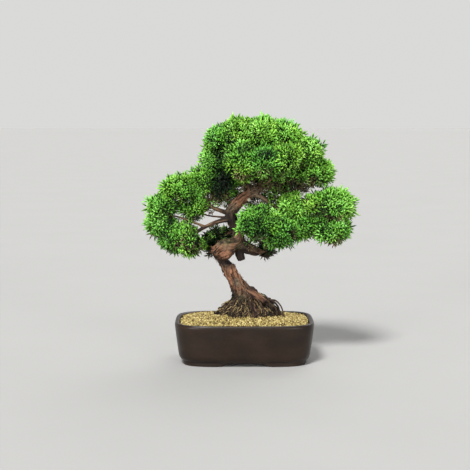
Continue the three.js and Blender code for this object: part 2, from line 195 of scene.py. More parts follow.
class Pile:
    def __init__(self):
        self.points, self.triangles, self.values, self.count = [], [], {}, 0

    def add(self, points, triangles, **values):
        self.points.append(points)
        self.triangles.append(np.asarray(triangles) + self.count)
        for name, value in values.items():
            row = np.broadcast_to(np.asarray(value, np.float32), len(points))
            self.values.setdefault(name, []).append(row)
        self.count += len(points)

    def arrays(self):
        values = {name: np.concatenate(rows) for name, rows in self.values.items()}
        return np.vstack(self.points), np.vstack(self.triangles), values

    def piece(self, name, material, slot):
        points, triangles, values = self.arrays()
        return make_piece(name, points, triangles, material, slot, **values)


def unit(vectors):
    return vectors / np.linalg.norm(vectors, axis=-1, keepdims=True)


def ring_faces(rings, around):
    here = np.arange(around)
    after = (here + 1) % around
    faces = []
    for ring in range(rings - 1):
        a, b = ring * around + here, ring * around + after
        faces += [np.stack([a, b, b + around], 1), np.stack([a, b + around, a + around], 1)]
    return np.vstack(faces)


def end_faces(ring, around, tip, flip):
    here = ring * around + np.arange(around)
    after = ring * around + (np.arange(around) + 1) % around
    first, second = (after, here) if flip else (here, after)
    return np.stack([first, second, np.full(around, tip)], 1)


def closed_skin(rings):
    """Rings of equal length, first to last, closed at both ends by a fan."""
    rings = np.asarray(rings, float)
    count, around = rings.shape[:2]
    points = np.vstack([rings.reshape(-1, 3), rings[0].mean(0), rings[-1].mean(0)])
    first = end_faces(0, around, count * around, True)
    last = end_faces(count - 1, around, count * around + 1, False)
    return points, np.vstack([ring_faces(count, around), first, last])


print("mesh helpers are ready")

# %% [markdown]
# ## Lines and tubes
# A trunk, a root and a twig are all a line with a thickness that changes on the way. Each is a short
# table of x, y, z and radius. A Catmull-Rom curve passes smoothly through every row, and a frame
# carried along it keeps the rings of the tube from twisting.

# %% Helpers for lines and tubes
def smooth_line(stations, step):
    knots = np.array(stations, float)
    padded = np.vstack([2 * knots[0] - knots[1], knots, 2 * knots[-1] - knots[-2]])
    points = []
    for i in range(len(knots) - 1):
        a, b, c, d = padded[i : i + 4]
        count = max(1, round(np.linalg.norm(c[:3] - b[:3]) / step))
        t = (np.arange(count) / count)[:, None]
        straight = 2 * b + (c - a) * t
        bend = (2 * a - 5 * b + 4 * c - d) * t**2
        swing = (3 * b - a - 3 * c + d) * t**3
        points.append((straight + bend + swing) / 2)
    points.append(knots[-1:])
    line = np.vstack(points)
    line[:, 3] = np.maximum(line[:, 3], knots[:, 3].min())
    return line


def carried_frames(centres):
    along = unit(np.gradient(centres, axis=0))
    normal = np.array([0.0, 1.0, 0.0]) if abs(along[0][0]) > 0.8 else np.array([1.0, 0.0, 0.0])
    normals = []
    for direction in along:
        normal = unit(normal - direction * normal.dot(direction))
        normals.append(normal)
    return along, np.array(normals), np.cross(along, normals)


def tube(line, sides):
    along, normal, across = carried_frames(line[:, :3])
    turns = 2 * np.pi * np.arange(sides) / sides
    spread = np.cos(turns)[:, None] * normal[:, None] + np.sin(turns)[:, None] * across[:, None]
    return closed_skin(line[:, None, :3] + line[:, 3][:, None, None] * spread)


print("line helpers are ready")

# %% [markdown]
# ## The floor and the light
# The plant stands on a plain pale floor in soft studio light. A strong light high at the front left
# models the clouds, two weaker ones low at the front left and right fill the shade under them, and
# one behind keeps the back readable. The floor's grey is chosen so that, lit, it comes close to the
# pale sky and the horizon nearly disappears. Colours are shown as they are, with no film curve.

# %% The floor and the light
FLOOR_HALF = 60.0
FLOOR_COLOUR = (0.415, 0.411, 0.402)
FLOOR_PALER = 1.03
FLOOR_CLOUDS = 3.0
# Each colour of the sky and how high it lies, from 0 at the horizon to 1 overhead
SKY = [(0.12, (0.70, 0.70, 0.69)), (0.55, (0.31, 0.31, 0.31))]
LIGHTS = {
    "front_light": {"shines_from": (-0.40, -1.1, 1.35), "strength": 3.7, "softness": 14},
    "left_light": {"shines_from": (-0.62, -1.0, 0.14), "strength": 1.4, "softness": 18},
    "right_light": {"shines_from": (0.62, -1.0, 0.14), "strength": 1.1, "softness": 18},
    "back_light": {"shines_from": (0.35, 1.0, 1.1), "strength": 1.1, "softness": 40},
}


def make_floor():
    half = FLOOR_HALF
    mesh = bpy.data.meshes.new("floor")
    corners = [(-half, -half, 0), (half, -half, 0), (half, half, 0), (-half, half, 0)]
    mesh.from_pydata(corners, [], [(0, 1, 2, 3)])
    material, tree, shader = new_material("pale_floor", 0.9)
    paler = tuple(FLOOR_PALER * part for part in FLOOR_COLOUR)
    clouds = speckle(tree, place_of(tree), FLOOR_CLOUDS)
    colour = ramp(tree, clouds, [(0.3, FLOOR_COLOUR), (0.7, paler)])
    tree.links.new(colour, shader.inputs["Base Color"])
    shader.inputs["Specular IOR Level"].default_value = 0.1
    mesh.materials.append(material)
    floor = bpy.data.objects.new("floor", mesh)
    bpy.context.scene.collection.objects.link(floor)


def make_light(name, shines_from, strength, softness):
    data = bpy.data.lights.new(name, "SUN")
    data.energy = strength
    data.angle = math.radians(softness)
    light = bpy.data.objects.new(name, data)
    light.rotation_euler = Vector(shines_from).to_track_quat("Z", "Y").to_euler()
    bpy.context.scene.collection.objects.link(light)


def make_sky():
    sky = bpy.data.worlds.new("sky")
    sky.use_nodes = True
    tree = sky.node_tree
    way = node(tree, "TexCoord").outputs["Generated"]
    height = node(tree, "SeparateXYZ", {"Vector": way}).outputs["Z"]
    tree.links.new(ramp(tree, height, SKY), tree.nodes["Background"].inputs["Color"])
    bpy.context.scene.world = sky


make_floor()
for name, facts in LIGHTS.items():
    make_light(name, **facts)
make_sky()
bpy.context.scene.view_settings.view_transform = "Standard"
print(len(LIGHTS), "lights and a pale sky")

# %% [markdown]
# ## Fired clay
# The pot is dark brown stoneware with no glaze. The kiln leaves it satin, slightly cloudy, with fine
# iron specks and pinholes. The material mixes three browns by soft noise, adds small pale specks,
# and lets the gloss wander a little. A fine bump gives the pressed clay its grain and its pinholes.

# %% The clay
CLAY_DARK = (0.0095, 0.0052, 0.0034)
CLAY_MID = (0.0150, 0.0086, 0.0053)
CLAY_WARM = (0.0235, 0.0135, 0.0082)
CLAY_SPECK = (0.070, 0.050, 0.037)
CLAY_CLOUDS = 14
CLAY_GLOSS = 32
CLAY_GRAIN = 260
CLAY_PITS = 900
CLAY_RELIEF = 0.25


def make_clay():
    material, tree, shader = new_material("satin_clay", 0.42)
    shader.inputs["Specular IOR Level"].default_value = 0.22
    where = place_of(tree)
    cloud = speckle(tree, stretched(tree, where, (1, 1, 2.2)), CLAY_CLOUDS, 5)
    body = ramp(tree, cloud, [(0.3, CLAY_DARK), (0.5, CLAY_MID), (0.72, CLAY_WARM)])
    pits = speckle(tree, where, CLAY_PITS, 2)
    specked = mix(tree, steps(tree, pits, 0.66, 0.74), body, CLAY_SPECK)
    tree.links.new(specked, shader.inputs["Base Color"])
    gloss = steps(tree, speckle(tree, where, CLAY_GLOSS, 3), -0.6, 2.2)
    tree.links.new(gloss, shader.inputs["Roughness"])
    grain = mix(tree, 0.4, speckle(tree, where, CLAY_GRAIN, 4), pits)
    raise_surface(tree, shader, grain, CLAY_RELIEF, 0.5)
    return material


clay = make_clay()
print("the clay is", clay.name)

# %% [markdown]
# ## The pot
# The pot is a long bowl with bowed sides, round corners and a lip that rolls over. A potter presses
# it in a mould. Here one profile is carried round the outline: up the outside, over the lip and
# down the inside. The outline is a superellipse, which is rounder than a box and squarer than an
# ellipse. Arches in the foot ring let water out, and two holes drain the floor.

# %% The pot's numbers
POT_X = -12.0
POT_HALF_LENGTH = 147.0
POT_HALF_DEPTH = 104.0
FLOOR_TOP = 18.0
FLOOR_UNDER = 9.5
OUTLINE_POWER = 4.6
OUTLINE_POINTS = 224
POT_PROFILE = [
    [15, FLOOR_UNDER], [12.5, 10.6], [9.6, 15], [7.6, 22], [5.6, 36], [3, 56], [0.6, 76], [0, 82],
    [0.3, 85.4], [1.6, 87.3], [4, 88], [7.4, 87.6], [9.4, 86],
    [10.4, 82], [13, 52], [17.5, 28], [25, FLOOR_TOP],
]
PROFILE_STEP = 4.0
FOOT_OUTER = 16.0
FOOT_INNER = 28.0
FOOT_EDGE = 0.8
FOOT_SUNK = 1.5
ARCH_HEIGHT = 7.0
ARCH_TAPER = 0.55
LONG_ARCH_HALF = 58.0
SHORT_ARCH_HALF = 34.0
DRAIN_X = 68.0
DRAIN_RADIUS = 10.0
DRAIN_CUT = (-5.0, 30.0)
DRAIN_SIDES = 40
SHARP_EDGE = math.radians(38)

# %% Shape the pot
def squared(share):
    """A sine or cosine, bent so that the circle it makes fills its square better."""
    return np.sign(share) * np.abs(share) ** (2 / OUTLINE_POWER)


def outline(inset, count=OUTLINE_POINTS):
    turn = 2 * np.pi * (np.arange(count) + 0.5) / count
    x = POT_X + (POT_HALF_LENGTH - inset) * squared(np.cos(turn))
    return np.stack([x, (POT_HALF_DEPTH - inset) * squared(np.sin(turn))], 1)


def level(inset, z, count=OUTLINE_POINTS):
    flat = outline(inset, count)
    return np.column_stack([flat, np.broadcast_to(z, len(flat))])


def arch_height(x, y):
    long_way = (LONG_ARCH_HALF - np.abs(x - POT_X)) / (LONG_ARCH_HALF * (1 - ARCH_TAPER))
    short_way = (SHORT_ARCH_HALF - np.abs(y)) / (SHORT_ARCH_HALF * (1 - ARCH_TAPER))
    on_long_side = np.abs(y) > POT_HALF_DEPTH - 2 * FOOT_INNER
    rise = np.where(on_long_side, long_way, short_way)
    return ARCH_HEIGHT * np.clip(rise, 0, 1)


def foot_ring():
    """The ring, whose underside has rounded edges and rises over the arches."""
    edges = [
        (FOOT_OUTER, FOOT_EDGE), (FOOT_OUTER + FOOT_EDGE, 0),
        (FOOT_INNER - FOOT_EDGE, 0), (FOOT_INNER, FOOT_EDGE),
    ]
    rings = [level(FOOT_OUTER - 0.5, FLOOR_UNDER + FOOT_SUNK)]
    for inset, lift in edges:
        flat = outline(inset)
        rings.append(np.column_stack([flat, arch_height(flat[:, 0], flat[:, 1]) + lift]))
    rings.append(level(FOOT_INNER, FLOOR_UNDER + FOOT_SUNK))
    around = OUTLINE_POINTS
    points = np.vstack(rings)
    sides = ring_faces(len(rings), around)
    here, after = np.arange(around), (np.arange(around) + 1) % around
    top = (len(rings) - 1) * around
    lid = [np.stack([top + here, top + after, after], 1), np.stack([top + here, after, here], 1)]
    return points, np.vstack([sides, *lid])[:, ::-1]


def plain_object(name, points, triangles):
    mesh = bpy.data.meshes.new(name)
    mesh.from_pydata((points * MM).tolist(), [], triangles.tolist())
    made = bpy.data.objects.new(name, mesh)
    bpy.context.scene.collection.objects.link(made)
    return made


def finished_arrays(made):
    bpy.context.view_layer.update()
    ready = made.evaluated_get(bpy.context.evaluated_depsgraph_get())
    mesh = bpy.data.meshes.new_from_object(ready)
    mesh.calc_loop_triangles()
    points = np.zeros(len(mesh.vertices) * 3, np.float32)
    triangles = np.zeros(len(mesh.loop_triangles) * 3, np.int32)
    mesh.vertices.foreach_get("co", points)
    mesh.loop_triangles.foreach_get("vertices", triangles)
    bpy.data.meshes.remove(mesh)
    return points.reshape(-1, 3).astype(float) / MM, triangles.reshape(-1, 3)


def drain_cutter(side):
    line = np.array([[POT_X + side * DRAIN_X, 0, z, DRAIN_RADIUS] for z in DRAIN_CUT])
    return plain_object("drain_cutter", *tube(line, DRAIN_SIDES))


def make_pot():
    profile = smooth_line([[inset, 0, z, 1] for inset, z in POT_PROFILE], PROFILE_STEP)
    bowl = plain_object("bowl", *closed_skin([level(row[0], row[2]) for row in profile]))
    helpers = [(plain_object("foot", *foot_ring()), "UNION")]
    helpers += [(drain_cutter(side), "DIFFERENCE") for side in (-1, 1)]
    for helper, operation in helpers:
        cut = bowl.modifiers.new(helper.name, "BOOLEAN")
        cut.object, cut.operation, cut.solver = helper, operation, "EXACT"
    points, triangles = finished_arrays(bowl)
    for spare in [bowl] + [helper for helper, operation in helpers]:
        bpy.data.objects.remove(spare)
    pot = make_piece("pot_bowl", points, triangles, clay, "clay")
    pot.data.set_sharp_from_angle(angle=SHARP_EDGE)
    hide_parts("pot")
    return pot


make_pot()
print("the pot is", 2 * POT_HALF_LENGTH, "mm long")

# %% [markdown]
# ## Drainage screens and wire clips
# A plastic screen over each drain hole keeps the granules in, and a bent wire holds it. The CAD
# solids already have the right shape, so they stay and only get a finish: moulded plastic with a
# faint grain, and soft copper-coloured training wire with drawn streaks.

# %% Finish the screens and the wires
SCREEN_BLACK = (0.018, 0.018, 0.017)
SCREEN_DUST = (0.06, 0.055, 0.048)
SCREEN_SPOTS = 160
SCREEN_GRAIN = 1500
WIRE_DARK = (0.33, 0.21, 0.14)
WIRE_PALE = (0.52, 0.37, 0.27)
WIRE_STREAKS = 1800


def make_screen_plastic():
    material, tree, shader = new_material("screen_plastic", 0.6)
    where = place_of(tree)
    spots = speckle(tree, where, SCREEN_SPOTS)
    colour = ramp(tree, spots, [(0.35, SCREEN_BLACK), (0.7, SCREEN_DUST)])
    tree.links.new(colour, shader.inputs["Base Color"])
    raise_surface(tree, shader, speckle(tree, where, SCREEN_GRAIN), 0.06)
    return material


def make_wire_metal():
    material, tree, shader = new_material("training_wire", 0.35)
    shader.inputs["Metallic"].default_value = 1.0
    along_wire = stretched(tree, place_of(tree), (0.1, 1, 1))
    streaks = speckle(tree, along_wire, WIRE_STREAKS)
    colour = ramp(tree, streaks, [(0.3, WIRE_DARK), (0.7, WIRE_PALE)])
    tree.links.new(colour, shader.inputs["Base Color"])
    raise_surface(tree, shader, streaks, 0.04)
    return material


def finish_cad_node(name, material):
    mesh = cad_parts[name].data
    if not mesh.materials:
        mesh.materials.append(material)
    for i in range(len(mesh.materials)):
        mesh.materials[i] = material


screen_plastic = make_screen_plastic()
wire_metal = make_wire_metal()
for side in ("left", "right"):
    finish_cad_node("drain_mesh_" + side, screen_plastic)
    finish_cad_node("wire_clip_" + side, wire_metal)
print("the screens and wires are finished")

# %% [markdown]
# ## The wood as lines
# The trunk leans left out of the soil, hooks round over itself and climbs to the crown. Old cuts
# left short stubs on it, the boughs carry the clouds, and a dozen roots grip the soil. Nearly every
# line is the same as in the CAD model, so the new skin lies where the solid does. Three things are
# the skin's own: the low bough on the right is thicker, a buttress joins the right of the flare,
# and two roots on the left end a little sooner.

# %% The lines of the wood
TRUNK = [
    [-11, 6, 92, 36], [-11, 5, 111, 33], [-12, 4, 131, 27], [-19, 3, 147, 21], [-28, 2, 163, 15.8],
    [-38, 1, 181, 14.2], [-47, 2, 196, 13.6], [-56, 3, 208, 9.6], [-63, 1, 218, 9.4],
    [-68, -4, 230, 12.4], [-58, -8, 241, 14.8], [-43, -7, 245, 14.6], [-30, -4, 250, 13.6],
    [-24, 2, 264, 11.8], [-31, 5, 283, 10.8], [-39, 4, 301, 11.6], [-39, 1, 318, 12.4],
    [-29, -2, 332, 12.2], [-15, -4, 345, 11.6], [0, -3, 355, 10.6], [15, 1, 362, 9],
    [25, 4, 375, 7.2], [29, 6, 396, 5.6], [25, 4, 426, 4], [23, 0, 457, 2.6],
]
STUBS = {
    "sawn_leader": [[-41, 0, 188, 13], [-45, 0, 198, 13.4], [-46, 0, 204, 13]],
    "left_stub": [[-64, -6, 234, 9], [-74, -7, 236, 7], [-81, -7, 237, 4.5]],
    "hanging_stub": [[-26, 3, 247, 9.5], [-23, 6, 229, 9.6], [-18, 8, 212, 8]],
    "hook_belly": [[-62, -8, 224, 11], [-50, -10, 231, 14], [-37, -8, 239, 10]],
    "pruned_knot": [[-10, -8, 345, 6], [-4, -15, 343, 3.8], [-3, -18.5, 343, 3.6]],
    "root_knob": [[-8, 2, 138, 14], [3, 0, 148, 10], [10, -1, 151, 5]],
    "buttress": [
        [-10, -4, 146, 9], [4, -11, 142, 8.4], [18, -14, 136, 7], [31, -15, 128, 5.6],
        [44, -15, 116, 4.4], [54, -15, 98, 3.2],
    ],
}
BOUGHS = {
    "right_low": [
        [-30, -2, 250, 13], [-9, 4, 241, 12.8], [2, 8, 235, 11.6],
        [14, 12, 230, 8.8], [26, 22, 229, 4.6], [44, 38, 233, 2.6],
    ],
    "back_low": [[-30, 5, 279, 7], [-41, 20, 271, 5], [-56, 38, 261, 3.6], [-67, 48, 251, 2.4]],
    "left_low": [
        [-43, 0, 302, 8], [-60, -4, 298, 5.2], [-81, -7, 291, 4.4],
        [-106, -9, 279, 3.6], [-136, -8, 265, 2.6],
    ],
    "left_thin": [
        [-45, 2, 304, 3], [-64, 4, 305, 2.4], [-85, 5, 307, 2.1],
        [-106, 4, 312, 1.9], [-132, 0, 318, 1.8],
    ],
    "left_outer": [[-95, -8, 285, 3], [-123, -9, 296, 2.6], [-152, -8, 306, 2.3], [-178, -6, 312, 2]],
    "left_high": [
        [-43, 0, 313, 7], [-60, 1, 318, 4.8], [-81, 2, 326, 4],
        [-104, 3, 341, 3.4], [-136, 2, 362, 2.4],
    ],
    "left_inner": [[-83, 2, 327, 3], [-90, 5, 349, 2.5], [-96, 6, 375, 2]],
    "right_main": [
        [4, -3, 356, 8], [21, -9, 349, 5.6], [33, -12, 342, 5], [50, -14, 330, 4.6],
        [69, -14, 315, 4.2], [99, -8, 304, 3.4], [131, 0, 305, 2.8], [165, 4, 313, 2],
    ],
    "right_front": [[38, -12, 338, 3.6], [37, -25, 320, 3], [33, -38, 300, 2.6], [28, -46, 286, 2.2]],
    "right_tip": [[108, -6, 304, 2.6], [129, -8, 290, 2.3], [152, -8, 276, 2]],
    "crown_left": [[8, 0, 360, 6], [-11, 3, 375, 4.8], [-34, 4, 400, 3.6], [-60, 2, 424, 2.4]],
    "crown_right": [[17, 2, 364, 6], [42, 4, 379, 4.6], [74, 2, 396, 3.6], [109, -2, 418, 2.6]],
    "crown_rim": [[55, 4, 386, 3.4], [89, 10, 383, 2.8], [127, 10, 387, 2.2]],
    "crown_front": [[0, -3, 356, 5], [-3, -18, 374, 3.6], [-5, -36, 394, 2.8], [-7, -48, 411, 2.2]],
    "crown_front_right": [[25, 2, 371, 4], [41, -18, 385, 3.4], [57, -38, 402, 2.8], [65, -50, 419, 2.2]],
    "crown_back_left": [[8, 2, 362, 5], [-9, 24, 382, 3.8], [-26, 42, 403, 2.8], [-38, 52, 420, 2.2]],
    "crown_back_right": [[25, 4, 369, 4.6], [43, 26, 389, 3.6], [65, 44, 407, 2.8], [78, 52, 420, 2.2]],
}
# x of the middle, half the width and z of each level of the root plate
FLARE = [
    [-4, 58, 80], [-3, 62, 96], [-4, 55, 106], [-5, 46, 114], [-6, 35, 121],
    [-7, 28, 129], [-9, 23, 138], [-18, 18, 150],
]
FLARE_FOOT_X = -8.0
FLARE_Y = 4.0
FLARE_DEPTH = 0.72
FLARE_SIDES = 72
SOIL_EDGE_Z = 84.0
SOIL_CROWN_Z = 101.0
# Heading in degrees, reach, thickness and rise of each surface root
ROOTS = [
    [-6, 84, 12, 131], [20, 70, 7, 118], [52, 64, 7, 118], [88, 62, 8, 118], [124, 66, 7, 116],
    [156, 68, 7, 116], [184, 74, 7, 113], [214, 72, 8, 118], [242, 66, 7, 118], [268, 64, 8, 122],
    [294, 66, 6.5, 118], [326, 74, 8, 120],
]
LINE_STEP = 3.0


def root_line(heading, reach, thick, rise):
    turn = math.radians(heading)

    def at(out, z, radius, swerve=0.0):
        x = FLARE_FOOT_X + out * math.cos(turn + swerve)
        return [x, FLARE_Y + out * math.sin(turn + swerve) * FLARE_DEPTH, z, radius]

    return [
        at(10, rise + 6, thick),
        at(reach * 0.45, rise - 6, thick * 0.85, 0.08),
        at(reach * 0.78, SOIL_CROWN_Z - 1, thick * 0.6, -0.05),
        at(reach, SOIL_CROWN_Z - 17, thick * 0.42, 0.06),
        at(reach * 1.06, SOIL_CROWN_Z - 40, thick * 0.28, 0.1),
    ]


limb_tables = [TRUNK, *STUBS.values(), *BOUGHS.values()]
limbs = [smooth_line(table, LINE_STEP) for table in limb_tables]
root_limbs = [smooth_line(root_line(*facts), LINE_STEP) for facts in ROOTS]
print(len(limbs), "limbs and", len(root_limbs), "roots")

# %% [markdown]
# ## One skin over all the wood
# Separate tubes would show a hard crease at every fork, and living wood has none. So the tubes are
# merged with a voxel remesh, which lays one skin over all of them, and a little smoothing rounds
# the forks as callus does.

# %% Skin the wood
VOXEL = 1.45
SKIN_SMOOTHING = 5
LIMB_SIDES = 16


def flare_skin():
    turns = 2 * np.pi * np.arange(FLARE_SIDES) / FLARE_SIDES
    rings = []
    for i, (middle, half, z) in enumerate(FLARE):
        share = i / (len(FLARE) - 1)
        ridges = 1 + 0.1 * np.cos(6 * turns + 2 * share) + 0.06 * np.cos(9 * turns - 3 * share)
        reach = half * ridges
        x = middle + reach * np.cos(turns)
        y = FLARE_Y + reach * FLARE_DEPTH * np.sin(turns)
        rings.append(np.column_stack([x, y, np.full(FLARE_SIDES, z)]))
    return closed_skin(rings)


def skin_wood():
    pile = Pile()
    for line in limbs + root_limbs:
        pile.add(*tube(line, LIMB_SIDES))
    pile.add(*flare_skin())
    points, triangles, _ = pile.arrays()
    rough = plain_object("rough_wood", points, triangles)
    remesh = rough.modifiers.new("one_skin", "REMESH")
    remesh.mode = "VOXEL"
    remesh.voxel_size = VOXEL * MM
    ease = rough.modifiers.new("callus", "SMOOTH")
    ease.factor, ease.iterations = 0.5, SKIN_SMOOTHING
    skin = finished_arrays(rough)
    bpy.data.objects.remove(rough)
    return skin


wood_points, wood_triangles = skin_wood()
print("the wood's skin has", len(wood_triangles), "triangles")

# %% [markdown]
# ## Which way the fibres run
# Juniper bark is made of long fibres that follow each limb, with a slow twist. Each point of the
# skin therefore looks up the nearest limb and writes down where it is on it: two numbers across
# the limb and one along it. Noise that is read at these three numbers, squeezed along the limb,
# gives fibres that turn with every bend.

# %% Find each point's place on its limb
FIBRE_TWIST = 0.012
LENGTH_SQUEEZE = 0.14
LIMB_GAP = 50.0
STATIONS_TRIED = 8


def limb_samples():
    """The middle, radius, two sides and length so far at each station of every limb."""
    centres, radii, normals, acrosses, lengths = [], [], [], [], []
    start = 0.0
    for line in limbs + root_limbs:
        _, normal, across = carried_frames(line[:, :3])
        strides = np.linalg.norm(np.diff(line[:, :3], axis=0), axis=1)
        length = start + np.concatenate([[0], np.cumsum(strides)])
        turn = (FIBRE_TWIST * length)[:, None]
        centres.append(line[:, :3])
        radii.append(line[:, 3])
        normals.append(normal * np.cos(turn) + across * np.sin(turn))
        acrosses.append(across * np.cos(turn) - normal * np.sin(turn))
        lengths.append(length)
        start = length[-1] + LIMB_GAP
    return [np.concatenate(rows) for rows in (centres, radii, normals, acrosses, lengths)]


centres, radii, limb_normals, limb_acrosses, limb_lengths = limb_samples()
limb_tree = KDTree(len(centres))
for i, centre in enumerate(centres):
    limb_tree.insert(centre, i)
limb_tree.balance()


def nearest_station(point):
    """The station whose bark is nearest, which thick limbs win over thin ones."""
    found = limb_tree.find_n(point, STATIONS_TRIED)
    return min(found, key=lambda hit: hit[2] - radii[hit[1]])[1]


def fibre_places(points):
    nearest = np.array([nearest_station(point) for point in points])
    offset = points - centres[nearest]
    u = (offset * limb_normals[nearest]).sum(1)
    v = (offset * limb_acrosses[nearest]).sum(1)
    return np.stack([u, v, limb_lengths[nearest] * LENGTH_SQUEEZE], 1), radii[nearest]


fibres, limb_radii = fibre_places(wood_points)
print("fibre places for", len(fibres), "points")

# %% [markdown]
# ## Zones of the bark
# The bark isn't one colour. It is red-brown and papery where old layers have peeled, grey where it
# has weathered, and green where algae grow. It is nearly black on dead stubs, which is their own
# colour, and on the root plate, which is partly wet wood and partly painted shade between the roots.
# It is painted nearly black as shade on the hanging stub, in the hook's crevices, round the broken
# leader and under the boughs. Each zone is a ball with a soft edge round a place on the trunk, and a
# point takes the strongest value. The material later breaks the edges up with noise.

# %% Paint the zones
# A zone is full to about half its reach, and fades out by about one and a half times its reach
ZONE_TOP = 1.6
ZONE_FALL = 1.1
# x, y, z of the middle and how far it reaches
ZONES = {
    "redness": [
        [-36, -8, 178, 24], [-28, -10, 160, 16], [-56, -18, 232, 22], [-42, -16, 238, 18],
        [-20, -10, 342, 16], [24, -8, 128, 30], [-1, -10, 352, 14], [-40, -8, 196, 12],
        [-79, -8, 236, 10], [8, -18, 140, 18],
    ],
    # Near black: the dead stubs' own dark, and painted shade on the hanging stub, in the hook's crevices,
    # round the broken leader, under the boughs and among the roots of the plate
    "dead_wood_and_painted_shade": [
        [-47, -4, 207, 14], [-60, -2, 213, 9], [-20, 0, 226, 26], [-39, 0, 305, 22], [-31, 4, 283, 16],
        [-40, 0, 118, 36], [-12, 0, 108, 40], [36, 0, 102, 34], [-64, 0, 102, 26], [4, 0, 149, 12],
        [-28, 6, 264, 14], [-44, -2, 252, 10], [-14, -10, 126, 22], [-20, 4, 214, 17], [-24, 0, 232, 12],
        [-34, -12, 254, 8], [-27, -12, 241, 9], [-72, -8, 222, 7], [-46, -16, 257, 9], [-60, -15, 252, 6],
    ],
    "weathering": [
        [-50, -17, 246, 10], [-62, -14, 250, 9], [10, 4, 240, 8], [-39, -10, 318, 16],
        [6, -8, 357, 12], [-26, -14, 166, 9], [20, -12, 345, 16], [46, -16, 332, 18],
    ],
    "moss": [
        [-50, -20, 106, 22], [-15, -30, 106, 16], [30, -25, 102, 16], [-30, 25, 110, 26],
        [-50, -16, 254, 13], [-14, -8, 130, 14], [-28, -10, 246, 10], [56, -16, 324, 16],
    ],
}


def zone_values(points, spots):
    value = np.zeros(len(points))
    for x, y, z, reach in spots:
        far = np.linalg.norm(points - (x, y, z), axis=1) / reach
        value = np.maximum(value, np.clip(ZONE_TOP - ZONE_FALL * far, 0, 1))
    return value


zones = {name: zone_values(wood_points, spots) for name, spots in ZONES.items()}
print({name: round(float(value.mean()), 3) for name, value in zones.items()})

# %% [markdown]
# ## Relief of the bark
# Broad strips stand apart along the trunk, finer ones split them, and the root plate is a lumpy
# tangle. The skin's points are pushed in and out along their normals by noise read at the fibre
# places. Thin limbs get a shallow relief, so that they don't break up.

# %% Push the relief into the skin
STRIP_SCALE = 0.19
SPLIT_SCALE = 0.5
LUMP_SCALE = 0.16
STRIP_SHARE = 0.13
SHALLOWEST_STRIP = 0.12
DEEPEST_STRIP = 2.3
PLATE_TOP = 150.0
PLATE_FADE = 25.0
PLATE_LUMPS = 3.0
TRUNK_LUMPS = 2.4
LUMPY_RADIUS = 14.0


def point_normals(points, triangles):
    a, b, c = (points[triangles[:, i]] for i in range(3))
    face = np.cross(b - a, c - a)
    total = np.zeros_like(points)
    for i in range(3):
        np.add.at(total, triangles[:, i], face)
    return unit(total + 1e-12)


def noise_at(places, scale):
    return np.array([noise.noise(Vector(place)) for place in places * scale])


def carve_bark():
    strips = 1 - 2 * np.abs(noise_at(fibres, STRIP_SCALE))
    splits = noise_at(fibres + 40, SPLIT_SCALE)
    lumps = noise_at(wood_points, LUMP_SCALE)
    depth = np.clip(STRIP_SHARE * limb_radii, SHALLOWEST_STRIP, DEEPEST_STRIP)
    plate = np.clip((PLATE_TOP - wood_points[:, 2]) / PLATE_FADE, 0, 1)
    knobbly = TRUNK_LUMPS * np.clip(limb_radii / LUMPY_RADIUS, 0, 1) ** 2 + PLATE_LUMPS * plate
    relief = depth * (0.75 * strips + 0.45 * splits - 0.35) + knobbly * lumps
    return wood_points + point_normals(wood_points, wood_triangles) * relief[:, None], relief


wood_points, relief = carve_bark()
print("the relief runs from", round(relief.min(), 2), "to", round(relief.max(), 2), "mm")

# %% [markdown]
# ## Bark colour
# The material reads the fibre places for its streaks and the zones for its colours. Each zone is
# multiplied by a noise along the fibres, so that its edge frays into strips. The colour goes nearly
# black in the cracks, where the fibre noise is low. A fine bump adds the hair-thin fibres that are
# too small for the mesh.

# %% The bark
BARK_CRACK = (0.012, 0.008, 0.006)
BARK_BROWN = (0.095, 0.052, 0.030)
BARK_TAN = (0.24, 0.150, 0.078)
BARK_RUST = (0.130, 0.057, 0.030)
BARK_PINK = (0.28, 0.140, 0.078)
# Near black and dark brown: the dead wood's own colour, and painted shade in the crevices and among the
# roots
SHADE_AND_DEAD_DARK = (0.014, 0.0095, 0.007)
SHADE_AND_DEAD_BROWN = (0.058, 0.037, 0.023)
GREY_DARK = (0.085, 0.063, 0.043)
GREY_PALE = (0.235, 0.195, 0.13)
MOSS_GREEN = (0.13, 0.125, 0.045)
# Multiplied with the colour, from between the hair-thin fibres to their crests
FIBRE_TONES = [(0.32, (0.28, 0.26, 0.25)), (0.5, (1, 1, 1)), (0.72, (1.5, 1.42, 1.35))]
# The fibre places are in millimetres, so these are in waves for each millimetre
BROAD_FIBRES = 0.22
FINE_FIBRES = 1.1


def frayed(tree, zone, noise_value, low, high):
    """A zone's amount, frayed by a noise."""
    inputs = {0: number(tree, zone), 1: steps(tree, noise_value, low, high)}
    return node(tree, "Math", inputs, operation="MULTIPLY").outputs[0]


